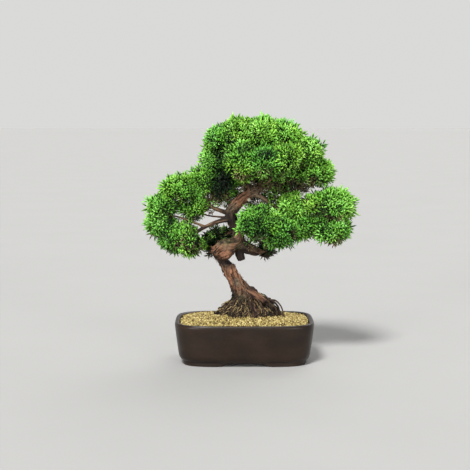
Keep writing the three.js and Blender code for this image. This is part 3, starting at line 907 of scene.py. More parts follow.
def make_bark():
    material, tree, shader = new_material("juniper_bark", 0.85)
    shader.inputs["Specular IOR Level"].default_value = 0.25
    fibre = node(tree, "Attribute", attribute_name="fibre").outputs["Vector"]
    broad = speckle(tree, fibre, BROAD_FIBRES, 5)
    fine = speckle(tree, fibre, FINE_FIBRES, 5, 0.65)
    brown = ramp(tree, broad, [(0.40, BARK_CRACK), (0.50, BARK_BROWN), (0.67, BARK_TAN)])
    red = ramp(tree, broad, [(0.37, BARK_CRACK), (0.46, BARK_RUST), (0.64, BARK_PINK)])
    dark = ramp(tree, broad, [(0.42, BARK_CRACK), (0.55, SHADE_AND_DEAD_DARK), (0.72, SHADE_AND_DEAD_BROWN)])
    grey = ramp(tree, fine, [(0.36, BARK_CRACK), (0.46, GREY_DARK), (0.68, GREY_PALE)])
    colour = mix(tree, frayed(tree, "redness", broad, 0.30, 0.52), brown, red)
    colour = mix(tree, frayed(tree, "weathering", fine, 0.40, 0.60), colour, grey)
    # Painted shade, and the dead wood's own dark, from the near-black zone
    colour = mix(tree, number(tree, "dead_wood_and_painted_shade"), colour, dark)
    colour = mix(tree, frayed(tree, "moss", fine, 0.48, 0.66), colour, MOSS_GREEN)
    colour = mix(tree, 0.9, colour, ramp(tree, fine, FIBRE_TONES), "MULTIPLY")
    tree.links.new(colour, shader.inputs["Base Color"])
    raise_surface(tree, shader, mix(tree, 0.5, broad, fine), 1.1, 1.0)
    return material


bark = make_bark()
trunk = make_piece("trunk_wood", wood_points, wood_triangles, bark, "bark", fibre=fibres, **zones)
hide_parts("trunk")

# %% [markdown]
# ## Peeling strips and splinters
# Old juniper bark lets go in long papery strips that stay fixed at one end. Each strip here starts
# flat on the trunk, follows it for one or two centimetres and lifts as it narrows. The broken rim
# of the old leader is a crown of splinters, made in the same way but short, thick and upright.

# %% Peel the bark
PEEL_SEED = 31
PEEL_COUNT = 240
PEEL_ROWS = 6
PEEL_THICKNESS = 0.28
# The stations at the trunk's foot and top where no strip starts
PEEL_FREE_FOOT = 18
PEEL_FREE_TOP = 30
SPLINTER_ROWS = 4
SPLINTER_THICKNESS = 0.6
# The middle, radius, direction and number of splinters of each broken end
BROKEN_ENDS = {
    "sawn_leader": [(-46.0, 0.0, 203.0), 12.0, (0.0, 0.0, 1.0), 26],
    "left_stub": [(-80.0, -7.0, 237.0), 5.0, (-0.9, -0.1, 0.1), 16],
    "hook_side": [(-66.0, -12.0, 250.0), 7.0, (-0.6, -0.5, 0.5), 9],
}


def ribbon(centre_line, outs, sides_of, half_widths, thickness):
    rings = []
    for centre, out, side, half in zip(centre_line, outs, sides_of, half_widths):
        across, swell = side * half, out * thickness
        rings.append([centre - across, centre + swell, centre + across, centre - swell])
    return closed_skin(rings)


def trunk_frame():
    line = limbs[0]
    return line, *carried_frames(line[:, :3])


def peel_strip(draw, line, along, normal, across):
    first = int(draw.integers(PEEL_FREE_FOOT, len(line) - PEEL_FREE_TOP))
    reach = int(draw.integers(3, 7))
    way = 1 if draw.random() < 0.5 else -1
    places = np.clip(first + way * np.linspace(0, reach, PEEL_ROWS), 0, len(line) - 1)
    turn = draw.uniform(0, 2 * np.pi) + draw.uniform(-0.06, 0.06) * np.arange(PEEL_ROWS)
    low = np.floor(places).astype(int)
    high = np.minimum(low + 1, len(line) - 1)
    share = (places - low)[:, None]
    at = line[low] * (1 - share) + line[high] * share
    outs = unit(np.cos(turn)[:, None] * normal[low] + np.sin(turn)[:, None] * across[low])
    sides_of = np.cross(along[low], outs)
    lift = draw.uniform(0.8, 3.6) * np.linspace(0, 1, PEEL_ROWS) ** 2.2
    centre_line = at[:, :3] + outs * (at[:, 3] + 0.35 + lift)[:, None]
    half_widths = draw.uniform(0.6, 1.7) * (1 - 0.8 * np.linspace(0, 1, PEEL_ROWS) ** 2)
    return ribbon(centre_line, outs, sides_of, half_widths, PEEL_THICKNESS)


def splinter(draw, share, middle, radius, upright):
    upright = unit(np.array(upright))
    side = unit(np.cross(upright, [0.3, 0.9, 0.1]))
    turn = 2 * np.pi * share
    out = math.cos(turn) * side + math.sin(turn) * np.cross(upright, side)
    along_rim = np.cross(upright, out)
    foot = middle + out * radius * draw.uniform(0.86, 1.04) - upright * draw.uniform(1, 5)
    height = draw.uniform(3, 7.5)
    rise = np.linspace(0, 1, SPLINTER_ROWS)
    lean = draw.uniform(0.05, 0.5)
    centre_line = foot + np.outer(rise * height, upright) + np.outer(rise**2 * height * lean, out)
    half_widths = draw.uniform(0.9, 1.9) * (1 - 0.85 * rise)
    outs, sides_of = (np.tile(way, (SPLINTER_ROWS, 1)) for way in (out, along_rim))
    return ribbon(centre_line, outs, sides_of, half_widths, SPLINTER_THICKNESS)


def make_peel():
    draw = np.random.default_rng(PEEL_SEED)
    pile = Pile()
    facts = trunk_frame()
    for _ in range(PEEL_COUNT):
        pile.add(*peel_strip(draw, *facts))
    for middle, radius, upright, count in BROKEN_ENDS.values():
        for k in range(count):
            pile.add(*splinter(draw, (k + draw.uniform(0, 0.7)) / count, middle, radius, upright))
    points, triangles, _ = pile.arrays()
    places, _ = fibre_places(points)
    values = {name: zone_values(points, spots) for name, spots in ZONES.items()}
    make_piece("peeling_bark", points, triangles, bark, "bark", fibre=places, **values)


make_peel()

# %% [markdown]
# ## The pruning cut
# A small branch was cut off near the crown, and its round face is still pale. It is a thin disc of
# bare wood on the end of the knot, with the spots and streaks of cut grain.

# %% The cut
CUT_AT = np.array([-2.6, -20.2, 343.0])
CUT_FACES = np.array([0.25, -0.95, 0.18])
CUT_RADIUS = 3.5
CUT_SIDES = 18
# How far along the disc each ring is, and its share of the radius
CUT_RINGS = [[-3.0, 0.75], [-0.4, 1.0], [0.2, 0.96], [0.45, 0.8]]
CUT_TAN = (0.26, 0.24, 0.17)
CUT_PALE = (0.56, 0.54, 0.42)
CUT_GRAIN = 900


def make_cut_wood():
    material, tree, shader = new_material("cut_wood", 0.7)
    where = stretched(tree, place_of(tree), (1, 0.3, 1))
    grain = speckle(tree, where, CUT_GRAIN, 3)
    colour = ramp(tree, grain, [(0.3, CUT_TAN), (0.65, CUT_PALE)])
    tree.links.new(colour, shader.inputs["Base Color"])
    raise_surface(tree, shader, grain, 0.2)
    return material


def make_cut():
    facing = unit(CUT_FACES)
    line = [[*(CUT_AT + facing * along), CUT_RADIUS * share] for along, share in CUT_RINGS]
    points, triangles = tube(np.array(line), CUT_SIDES)
    make_piece("pruning_cut", points, triangles, make_cut_wood(), "bark")


make_cut()

# %% [markdown]
# ## The soil's surface
# The bed is heaped from the pot's lip up to the foot of the trunk. A bumpy sheet closes the gaps
# between the loose grains that lie on it, and it is painted nearly black as the shade in those gaps.
# Its sides and underside follow the pot's inside.

# %% Shape the bed
SOIL_INSET = 11.2
SOIL_SLOPE = 1.5
BED_RINGS = 30
BED_POINTS = 160
BED_SINK = 3.0
BED_BUMPS = 1.2
BED_BUMP_SCALE = 0.23
BED_SHADE_TINT = 0.03
# Inset and height of each ring below the bed's edge, just clear of the pot's inside
BED_SIDES = [(25.5, 18.4), (18.0, 28.4), (13.6, 52.0)]
# The first colour is painted shade, for the sheet between the grains
GRAIN_SHADE = (0.045, 0.028, 0.012)
GRAIN_DARK = (0.17, 0.115, 0.038)
GRAIN_TAN = (0.34, 0.265, 0.082)
GRAIN_PALE = (0.58, 0.49, 0.22)
# Multiplied with the colour, from the dusty spots to the clean ones
GRAIN_DUST = [(0.3, (0.7, 0.66, 0.6)), (0.6, (1.08, 1.06, 1.02))]
DUST_SPOTS = 700
GRAIN_PORES = 1300


def share_of_outline(x, y, inset):
    """Nought at the pot's middle, one on its outline at this inset, and more outside it."""
    across = np.abs((x - POT_X) / (POT_HALF_LENGTH - inset)) ** OUTLINE_POWER
    deep = np.abs(y / (POT_HALF_DEPTH - inset)) ** OUTLINE_POWER
    return across + deep


def soil_height(x, y):
    edge = np.minimum(1, share_of_outline(x, y, SOIL_INSET) ** (1 / OUTLINE_POWER))
    return SOIL_EDGE_Z + (SOIL_CROWN_Z - SOIL_EDGE_Z) * (1 - edge**SOIL_SLOPE)


def make_granule_finish():
    material, tree, shader = new_material("fired_granules", 0.95)
    where = place_of(tree)
    tint = number(tree, "tint")
    stops = [(0.0, GRAIN_SHADE), (0.16, GRAIN_DARK), (0.55, GRAIN_TAN), (1.0, GRAIN_PALE)]
    colour = ramp(tree, tint, stops)
    dust = ramp(tree, speckle(tree, where, DUST_SPOTS, 5), GRAIN_DUST)
    tree.links.new(mix(tree, 1.0, colour, dust, "MULTIPLY"), shader.inputs["Base Color"])
    raise_surface(tree, shader, speckle(tree, where, GRAIN_PORES, 4), 0.3)
    return material


def make_bed():
    rings = [level(inset, z, BED_POINTS) for inset, z in BED_SIDES]
    flat = outline(SOIL_INSET, BED_POINTS)
    for i in range(BED_RINGS):
        share = 1 - i / BED_RINGS
        x, y = POT_X + (flat[:, 0] - POT_X) * share, flat[:, 1] * share
        z = soil_height(x, y) - BED_SINK
        bumps = noise_at(np.column_stack([x, y, z]), BED_BUMP_SCALE)
        rings.append(np.column_stack([x, y, z + BED_BUMPS * bumps]))
    points, triangles = closed_skin(rings)
    # Painted shade: the sheet takes the nearly black end of the granules' colours
    tint = np.full(len(points), BED_SHADE_TINT)
    return make_piece("granule_bed", points, triangles, granule_finish, "granules", tint=tint)


granule_finish = make_granule_finish()
bed = make_bed()
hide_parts("soil")

# %% [markdown]
# ## Loose granules
# The top dressing is fired clay, sieved to about four millimetres. The grains are chips with
# rounded corners, and no two are alike. A cube with each side cut in four is blown up to a ball,
# and each copy is squeezed, turned and dented at random before it is laid on a jittered grid.

# %% Scatter the granules
GRAIN_SPACING = 4.7
GRAIN_RADIUS = 2.35
GRAIN_SEED = 11
ROW_SPACING = 0.866  # of the spacing along a row, as in a triangular grid
GRAIN_JITTER = 1.4
GRAIN_HEIGHTS = (-1.7, 0.6)
GRAIN_FROM_EDGE = 1.2
GRAIN_FROM_WOOD = 0.3


def square_corners(axis, sign, i, j):
    """The corners of one square on a side of the cube, in order round it."""
    corners = []
    for di, dj in ((0, 0), (1, 0), (1, 1), (0, 1)):
        corner = np.zeros(3)
        corner[axis] = sign
        corner[(axis + 1) % 3], corner[(axis + 2) % 3] = i + di, j + dj
        corners.append(corner)
    return corners if sign > 0 else corners[::-1]


def grain_pattern():
    """A ball made of a cube with four squares on each side."""
    places = (-1.0, 0.0, 1.0)
    grid = np.array([[x, y, z] for x in places for y in places for z in places])
    shell = [i for i, p in enumerate(grid) if np.abs(p).max() == 1]
    order = {tuple(grid[old]): new for new, old in enumerate(shell)}
    triangles = []
    for axis in range(3):
        for sign in (-1, 1):
            for i in (-1, 0):
                for j in (-1, 0):
                    a, b, c, d = (order[tuple(p)] for p in square_corners(axis, sign, i, j))
                    triangles += [[a, b, c], [a, c, d]]
    return unit(grid[shell]), np.array(triangles)


def random_turns(draw, count):
    w, x, y, z = unit(draw.normal(size=(count, 4))).T
    rows = [
        [1 - 2 * (y * y + z * z), 2 * (x * y - w * z), 2 * (x * z + w * y)],
        [2 * (x * y + w * z), 1 - 2 * (x * x + z * z), 2 * (y * z - w * x)],
        [2 * (x * z - w * y), 2 * (y * z + w * x), 1 - 2 * (x * x + y * y)],
    ]
    return np.array(rows).transpose(2, 0, 1)


def stamp(pattern, triangles, places, turns, sizes):
    """Copies of a pattern: each is sized, turned and put in its place."""
    points = np.einsum("nij,nkj->nki", turns, pattern * sizes) + places[:, None]
    count = points.shape[1]
    faces = triangles[None] + (np.arange(len(places)) * count)[:, None, None]
    return points.reshape(-1, 3), faces.reshape(-1, 3)


wood_skin = BVHTree.FromPolygons(wood_points.tolist(), wood_triangles.tolist())


def clear_of_wood(point, margin):
    where, normal, _, distance = wood_skin.find_nearest(Vector(point))
    inside = (Vector(point) - where).dot(normal) < 0
    return not inside and distance > margin


def granule_places(draw):
    rows = []
    for i, y in enumerate(np.arange(-POT_HALF_DEPTH, POT_HALF_DEPTH, GRAIN_SPACING * ROW_SPACING)):
        x = np.arange(-POT_HALF_LENGTH, POT_HALF_LENGTH, GRAIN_SPACING) + (i % 2) * GRAIN_SPACING / 2
        rows.append(np.column_stack([POT_X + x, np.full(len(x), y)]))
    flat = np.vstack(rows)
    flat += draw.uniform(-GRAIN_JITTER, GRAIN_JITTER, flat.shape)
    flat = flat[share_of_outline(flat[:, 0], flat[:, 1], SOIL_INSET + GRAIN_FROM_EDGE) < 1]
    z = soil_height(flat[:, 0], flat[:, 1]) + draw.uniform(*GRAIN_HEIGHTS, len(flat))
    places = np.column_stack([flat, z])
    return places[[clear_of_wood(place, GRAIN_FROM_WOOD) for place in places]]


def make_granules():
    draw = np.random.default_rng(GRAIN_SEED)
    places = granule_places(draw)
    count = len(places)
    ball, triangles = grain_pattern()
    dents = draw.uniform(0.80, 1.16, (count, len(ball), 1))
    squeeze = draw.uniform(0.78, 1.2, (count, 1, 3)) * GRAIN_RADIUS
    squeeze = squeeze * draw.uniform(0.8, 1.15, (count, 1, 1))
    points, faces = stamp(ball[None] * dents, triangles, places, random_turns(draw, count), squeeze)
    tint = np.repeat(np.clip(draw.normal(0.56, 0.27, count), 0.08, 1), len(ball))
    make_piece("loose_granules", points, faces, granule_finish, "granules", tint=tint)


make_granules()

# %% [markdown]
# ## Roots over the root plate
# The foot of an old juniper is a web of roots, dark where they are wet and straw-coloured where
# they have dried. Each one is let down over the wood like a thread: it takes a short step outwards
# and down, and is then laid back on the nearest bark, until it dips under the granules. Now and
# then it bridges a gap instead, which leaves shade under it. The dry roots are shorter and thicker,
# and lie on top of the dark ones. A few stout roots arch clear of the bark and the soil.

# %% The roots' numbers
ROOT_SEED = 23
CREEPING_ROOTS = 560
ROOT_STEP = 3.0
SHORTEST_STEP = 0.8
ROOT_WANDER = 0.36
THINNEST_ROOT = 0.5
ROOT_TAPER = 0.97
FEWEST_STATIONS = 4
# The web starts in rounds over the root plate, nearer to the trunk where it starts higher up
WEB_ROUNDS = 5
WEB_TOP = 146.0
WEB_TOP_OUT = 24.0
WEB_SLOPE = 0.5
WEB_DEPTH = 0.7
WEB_LEFT_END = -76.0
WEB_BELOW_SOIL = 3.0
HIGH_STARTS = (104, 138)
LOW_STARTS = (98, 118)
HUMP_HEIGHT = 2.6
HUMP_HIDDEN = 0.8
HUMP_PACE = 0.55
# From dark and wet to pale and dry, and the share of the roots that has each tone
ROOT_TONES = [0.0, 0.2, 0.55, 0.8, 1.0]
TONE_SHARES = [0.40, 0.24, 0.17, 0.11, 0.08]
DRY_TONE = 0.7
DRY_ROOTS_ABOVE = 1.3
STOUT_EVERY = 6
STOUT_RADII = (0.8, 1.5)
FINE_RADII = (0.5, 0.9)
FEWEST_STEPS = 6
MOST_STEPS = 24
MOST_DRY_STEPS = 10
# x, y, z and radius along each arching root
ARCHING_ROOTS = [
    [
        [22, -8, 130, 2.6], [36, -14, 132, 2.6], [50, -16, 126, 2.4],
        [60, -14, 114, 2.1], [63, -13, 96, 1.8],
    ],
    [[30, -10, 126, 2.2], [44, -18, 121, 2.4], [55, -20, 111, 2.0], [57, -22, 96, 1.6]],
    [
        [34, -4, 126, 1.8], [52, -6, 128, 1.8], [64, -8, 118, 1.6],
        [70, -8, 104, 1.4], [71, -7, 94, 1.2],
    ],
    [
        [2, -8, 150, 2.6], [11, -9, 151, 2.4], [15, -11, 146, 2.0],
        [12, -14, 139, 1.6], [6, -18, 133, 1.4],
    ],
    [
        [-6, -18, 140, 2.4], [-2, -24, 128, 2.6], [2, -28, 116, 2.4],
        [1, -32, 104, 2.2], [2, -35, 92, 1.8],
    ],
    [
        [-24, -14, 136, 2.2], [-34, -20, 126, 2.4], [-38, -26, 114, 2.2],
        [-46, -30, 100, 1.8], [-48, -33, 90, 1.4],
    ],
    [
        [-30, -8, 132, 2.0], [-42, -10, 121, 2.0], [-54, -12, 111, 1.8],
        [-63, -14, 101, 1.6], [-68, -15, 91, 1.2],
    ],
    [
        [10, -14, 136, 2.4], [20, -22, 126, 2.6], [26, -28, 113, 2.4],
        [32, -32, 100, 2.0], [33, -34, 90, 1.6],
    ],
]
ARCH_TONES = (0.2, 0.52)
# Each tone's colour, and the worn spots that are multiplied with it
ROOT_COLOURS = [
    (0.0, (0.008, 0.005, 0.004)), (0.4, (0.036, 0.022, 0.014)),
    (0.72, (0.115, 0.080, 0.041)), (1.0, (0.235, 0.178, 0.090)),
]
ROOT_WEAR = [(0.37, (0.2, 0.18, 0.17)), (0.62, (1.4, 1.34, 1.24))]
WEAR_SPOTS = 420
ROOT_GRAIN = 900

# %% Let the roots down
def settle(point, radius, lift):
    """The point laid back on the bark, and the height of the soil there."""
    where, normal, _, _ = wood_skin.find_nearest(Vector(point))
    laid = np.array(where + normal * (radius * 0.6 + lift))
    return laid, soil_height(laid[0], laid[1])


def creep(draw, turn, rise, radius, steps_left, above):
    out = WEB_TOP_OUT + (WEB_TOP - rise) * WEB_SLOPE
    x = FLARE_FOOT_X + out * math.cos(turn)
    point = np.array([x, FLARE_Y + WEB_DEPTH * out * math.sin(turn), rise])
    heading = turn
    hump = draw.uniform(0, 6.28)
    line = []
    while steps_left > 0:
        lift = above + max(0.0, HUMP_HEIGHT * math.sin(hump + HUMP_PACE * len(line)) - HUMP_HIDDEN)
        point, ground = settle(point, radius, lift)
        if line and np.linalg.norm(point - line[-1][:3]) < SHORTEST_STEP:
            break
        line.append([*point, radius])
        if point[2] < ground - WEB_BELOW_SOIL or point[0] < WEB_LEFT_END:
            break
        heading += draw.normal(0, ROOT_WANDER)
        sink = -draw.uniform(0.1, 1.1)
        way = np.array([math.cos(heading), math.sin(heading) * FLARE_DEPTH, sink])
        point = point + unit(way) * ROOT_STEP
        radius = max(THINNEST_ROOT, radius * ROOT_TAPER)
        steps_left -= 1
    return line


def creeping_root(draw, i):
    turn = 2 * WEB_ROUNDS * math.pi * (i + draw.uniform(0, 0.8)) / CREEPING_ROOTS
    rise = draw.uniform(*HIGH_STARTS) if i % 3 else draw.uniform(*LOW_STARTS)
    tone = draw.choice(ROOT_TONES, p=TONE_SHARES)
    dry = tone > DRY_TONE
    radius = draw.uniform(*STOUT_RADII) if dry or i % STOUT_EVERY == 0 else draw.uniform(*FINE_RADII)
    count = draw.integers(FEWEST_STEPS, MOST_DRY_STEPS if dry else MOST_STEPS)
    return creep(draw, turn, rise, radius, count, DRY_ROOTS_ABOVE * tone), tone


def make_web_of_roots():
    draw = np.random.default_rng(ROOT_SEED)
    pile = Pile()
    for i in range(CREEPING_ROOTS):
        line, tone = creeping_root(draw, i)
        if len(line) > FEWEST_STATIONS:
            pile.add(*tube(smooth_line(line, ROOT_STEP), 4), tint=tone)
    for stations in ARCHING_ROOTS:
        pile.add(*tube(smooth_line(stations, 2.2), 8), tint=draw.uniform(*ARCH_TONES))
    return pile


def make_root_finish():
    material, tree, shader = new_material("fine_root_bark", 0.85)
    shader.inputs["Specular IOR Level"].default_value = 0.25
    where = place_of(tree)
    colour = ramp(tree, number(tree, "tint"), ROOT_COLOURS)
    worn = ramp(tree, speckle(tree, where, WEAR_SPOTS, 5), ROOT_WEAR)
    tree.links.new(mix(tree, 1.0, colour, worn, "MULTIPLY"), shader.inputs["Base Color"])
    raise_surface(tree, shader, speckle(tree, where, ROOT_GRAIN, 4), 0.4)
    return material


root_finish = make_root_finish()
make_web_of_roots().piece("fine_roots", root_finish, "bark")

# %% [markdown]
# ## Foliage in sprays
# Kishu juniper has tiny scale leaves pressed onto cord-like shoots. A spray is a bent stem with
# short shoots all round it, each thickest past its middle. Eight different sprays are enough,
# because every copy gets its own turn, size and tint.

# %% Model the sprays
SPRAY_LENGTH = 17.0
SPRAY_KINDS = 8
SIDE_SHOOTS = 6
INNER_SHOOTS = 5
SPRAY_SEED = 5
SHOOT_GIRTH = 1.42
LEADER_REACH = 1.22
STEM_GIRTH = 0.8
SPRAY_BEND = 3.0
GOLDEN_ANGLE = 2.39996
THICKEST_AT = 0.62
TIP_CURVE = 0.7


def three_round(centre, axis, radius):
    side = unit(np.cross(axis, [0.31, 0.87, 0.38]))
    other = np.cross(axis, side)
    turns = 2 * np.pi * np.arange(3)[:, None] / 3
    return centre + radius * (np.cos(turns) * side + np.sin(turns) * other)


def shoot(pile, foot, tip, girth, near_foot, near_tip):
    """A three-sided spindle that notes how near to its tip each point is."""
    waist = three_round(foot + (tip - foot) * THICKEST_AT, unit(tip - foot), girth)
    triangles = [[0, 2, 1], [0, 3, 2], [0, 1, 3], [1, 2, 4], [2, 3, 4], [3, 1, 4]]
    reach = np.array([0.0] + [THICKEST_AT**TIP_CURVE] * 3 + [1.0])
    nearness = near_foot + (near_tip - near_foot) * reach
    pile.add(np.vstack([foot, waist, tip]), triangles, tip=nearness)


def spray_pattern(draw, side_shoots):
    pile = Pile()
    bend = draw.uniform(-SPRAY_BEND, SPRAY_BEND, 2)

    def stem(share):
        return np.array([bend[0] * share**2, bend[1] * share**2, SPRAY_LENGTH * share])

    shoot(pile, stem(0.0), stem(0.6), STEM_GIRTH, 0.0, 0.4)
    shoot(pile, stem(0.4), stem(LEADER_REACH), 0.85 * SHOOT_GIRTH, 0.3, 1.0)
    for k in range(side_shoots):
        share = 0.20 + 0.55 * k / (side_shoots - 1)
        turn = k * GOLDEN_ANGLE + draw.uniform(-0.4, 0.4)
        length = (16.5 - 7.0 * share) * draw.uniform(0.75, 1.25)
        lean = math.radians(46 - 12 * share) * draw.uniform(0.85, 1.15)
        flat = math.sin(lean)
        way = np.array([math.cos(turn) * flat, math.sin(turn) * flat, math.cos(lean)])
        foot = stem(share)
        shoot(pile, foot, foot + way * length, SHOOT_GIRTH, 0.3 * share, 0.8 + 0.2 * share)
    points, triangles, values = pile.arrays()
    return points, triangles, values["tip"]


def spray_patterns(side_shoots):
    draw = np.random.default_rng(SPRAY_SEED)
    return [spray_pattern(draw, side_shoots) for _ in range(SPRAY_KINDS)]


sprays = spray_patterns(SIDE_SHOOTS)
inner_sprays = spray_patterns(INNER_SHOOTS)
print("a spray has", len(sprays[0][1]), "triangles and an inner one", len(inner_sprays[0][1]))

# %% [markdown]
# ## Leaf colour
# New tips are a bright yellow-green, and the older scales behind them a deep green. Deeper in the
# cloud the green is painted darker, to almost black, as painted shade. Shaded old growth dries
# brown. The spray's own tip value drives the green, and it is lowered where shade is painted and
# raised where light is painted. The tint of its tuft moves it towards yellow or towards blue, and
# a third value tells how dry it is.

# %% The leaves
LEAF_SHADE_BLACK = (0.003, 0.008, 0.0025)
LEAF_DARK = (0.015, 0.052, 0.008)
LEAF_GREEN = (0.160, 0.470, 0.036)
LEAF_BRIGHT = (0.345, 0.770, 0.120)
LEAF_TIP = (0.430, 0.800, 0.235)
LEAF_BLUE = (0.74, 0.90, 1.08)
LEAF_YELLOW = (1.24, 1.03, 0.78)
DRY_DARK = (0.035, 0.020, 0.012)
DRY_TAN = (0.26, 0.165, 0.10)
# Multiplied with the colour, from between the scales to their backs
SCALE_TONES = [(0.35, (0.72, 0.72, 0.72)), (0.65, (1.15, 1.15, 1.15))]
LEAF_SCALES = 1100


def make_leaf():
    material, tree, shader = new_material("scale_leaf", 0.55)
    shader.inputs["Specular IOR Level"].default_value = 0.28
    where = place_of(tree)
    tip, tint = number(tree, "tip"), number(tree, "tint")
    # The near-black first stop is painted shade, and the dark second one is partly the old scales' own
    # green and partly painted shade
    stops = [
        (0.12, LEAF_SHADE_BLACK), (0.38, LEAF_DARK), (0.62, LEAF_GREEN), (0.84, LEAF_BRIGHT), (1.0, LEAF_TIP),
    ]
    tone = ramp(tree, tint, [(0.1, LEAF_BLUE), (0.5, (1, 1, 1)), (0.9, LEAF_YELLOW)])
    colour = mix(tree, 1.0, ramp(tree, tip, stops), tone, "MULTIPLY")
    dry = ramp(tree, tip, [(0.2, DRY_DARK), (0.9, DRY_TAN)])
    colour = mix(tree, number(tree, "dryness"), colour, dry)
    scales = speckle(tree, where, LEAF_SCALES, 2)
    colour = mix(tree, 1.0, colour, ramp(tree, scales, SCALE_TONES), "MULTIPLY")
    tree.links.new(colour, shader.inputs["Base Color"])
    raise_surface(tree, shader, scales, 0.35)
    return material


leaf = make_leaf()

# %% [markdown]
# ## Clouds of foliage
# Growers shape the foliage into round clouds by pinching the tips. Each cloud is one or more round
# lobes. Tufts stand all over a lobe at even spaces, lean a little upwards, and fan out into sprays.
# Where two lobes meet there are none. Light doesn't reach some pockets between the lobes, so the
# growth there is thin and dry, and daylight shows through a few windows. Where a cloud lies in
# shade, and where its lumps sink, the tufts are painted darker as painted shade, and in a few spots
# the shoots are painted brighter and yellower as painted light. The lobes are the same as in the
# CAD model, apart from two on the right: the largest front one is a little narrower, and the inner
# cloud has a small third one.

# %% The clouds' numbers
# x, y, z of the middle, then half the width, depth and height to the shoots' tips
CLOUDS = {
    "crown_top": [[-28, 0, 472, 54, 54, 51], [25, 0, 475, 54, 58, 50], [68, 0, 467, 52, 54, 51]],
    "crown_left": [[-60, 0, 466, 42, 46, 42], [-70, 2, 428, 40, 42, 43], [-62, 0, 378, 42, 42, 48]],
    "crown_right": [[112, 0, 440, 46, 50, 44], [131, 4, 398, 53, 46, 42]],
    "crown_front": [[-18, -50, 425, 44, 44, 50], [28, -56, 424, 44, 44, 42], [74, -50, 434, 42, 44, 42]],
    "crown_back": [[-38, 50, 430, 48, 48, 48], [22, 58, 436, 50, 44, 48], [80, 50, 430, 47, 48, 47]],
    "crown_low": [[56, 14, 386, 52, 46, 38], [98, -4, 386, 42, 42, 34]],
    "left_high": [[-144, 0, 362, 54, 54, 42], [-98, 4, 382, 42, 44, 38]],
    "left_outer": [[-183, -4, 326, 42, 46, 41], [-186, -6, 292, 41, 44, 36]],
    "left_low": [[-163, -6, 260, 39, 42, 39], [-126, -6, 256, 43, 46, 41]],
    "left_inner": [[-118, 2, 327, 39, 38, 34]],
    "back_low": [[-68, 50, 248, 42, 40, 40]],
    "right_front": [[18, -46, 296, 51, 46, 42], [66, -38, 276, 44, 38, 40], [32, -22, 316, 36, 34, 28]],
    "right_inner": [[90, -6, 328, 42, 44, 42], [106, -2, 284, 44, 44, 40], [122, -14, 335, 28, 36, 29]],
    "right_outer": [[171, 2, 328, 59, 54, 47], [168, 0, 284, 54, 46, 45]],
    "right_low": [[35, 46, 232, 30, 32, 26]],
}
# Bare pockets: x, y, z of the middle and how far it reaches
HOLLOWS = [
    [-61, -30, 448, 13], [33, -86, 466, 9], [-51, -44, 392, 15], [-30, -84, 457, 9],
    [37, -92, 446, 10], [79, -72, 466, 7], [123, -50, 432, 6], [146, -48, 328, 8],
    [34, -80, 332, 11], [86, -54, 278, 11], [93, -62, 288, 9], [-150, -48, 330, 10],
    [56, -58, 325, 12],
]
# Painted shade, where the tufts are sunk and painted darker: x, y, z of the middle, how far it
# reaches and how dark it is painted
SHADY = [
    [-55, -34, 384, 34, 0.8], [-61, -34, 448, 20, 0.6], [34, -86, 474, 13, 0.6],
    [36, -90, 454, 17, 0.6], [39, -92, 434, 13, 0.5], [10, -86, 456, 12, 0.45],
    [78, -74, 466, 11, 0.5], [86, -82, 441, 16, 0.3], [-14, -84, 460, 17, 0.45],
    [-42, -50, 467, 16, 0.35], [4, -62, 470, 16, 0.3], [70, -60, 470, 18, 0.35],
    [100, -42, 462, 14, 0.35], [90, -60, 385, 26, 0.3], [120, -52, 430, 13, 0.2],
    [148, -50, 330, 15, 0.4], [160, -52, 314, 20, 0.4], [90, -66, 289, 17, 0.6],
    [-134, -42, 290, 14, 0.4], [72, -60, 301, 13, 0.3], [140, -42, 292, 18, 0.45],
    [-150, -48, 330, 18, 0.5], [-162, -48, 302, 18, 0.5], [-128, -42, 344, 16, 0.5],
    [-122, -40, 388, 24, 0.3], [-105, -40, 296, 26, 0.5], [38, -62, 262, 20, 0.3],
    [66, -62, 254, 16, 0.2], [-68, 30, 250, 46, 0.65], [35, 40, 235, 34, 0.6],
    [16, -80, 300, 44, 0.25], [-60, -20, 350, 26, 0.6],
]
# Old growth that has dried: x, y, z of the middle and how far it reaches
DRY_POCKETS = [
    [30, -20, 378, 44], [84, -14, 372, 32], [128, -6, 368, 34], [-118, 0, 300, 24],
    [86, -44, 275, 15], [84, -46, 390, 26], [38, -88, 444, 14], [35, 40, 235, 30],
    [-146, -44, 258, 13], [-120, -46, 250, 12],
]
# Gaps that daylight shows through: x and z of the middle and how far it reaches
WINDOWS = [
    [-62, 312, 6], [-74, 314, 7], [-86, 315, 6], [-77, 300, 6], [-88, 302, 5], [-152, 312, 4],
    [-105, 273, 4], [-107, 290, 4], [-112, 259, 3], [40, 325, 4], [110, 351, 4],
]
WINDOW_MARGIN = 7.0
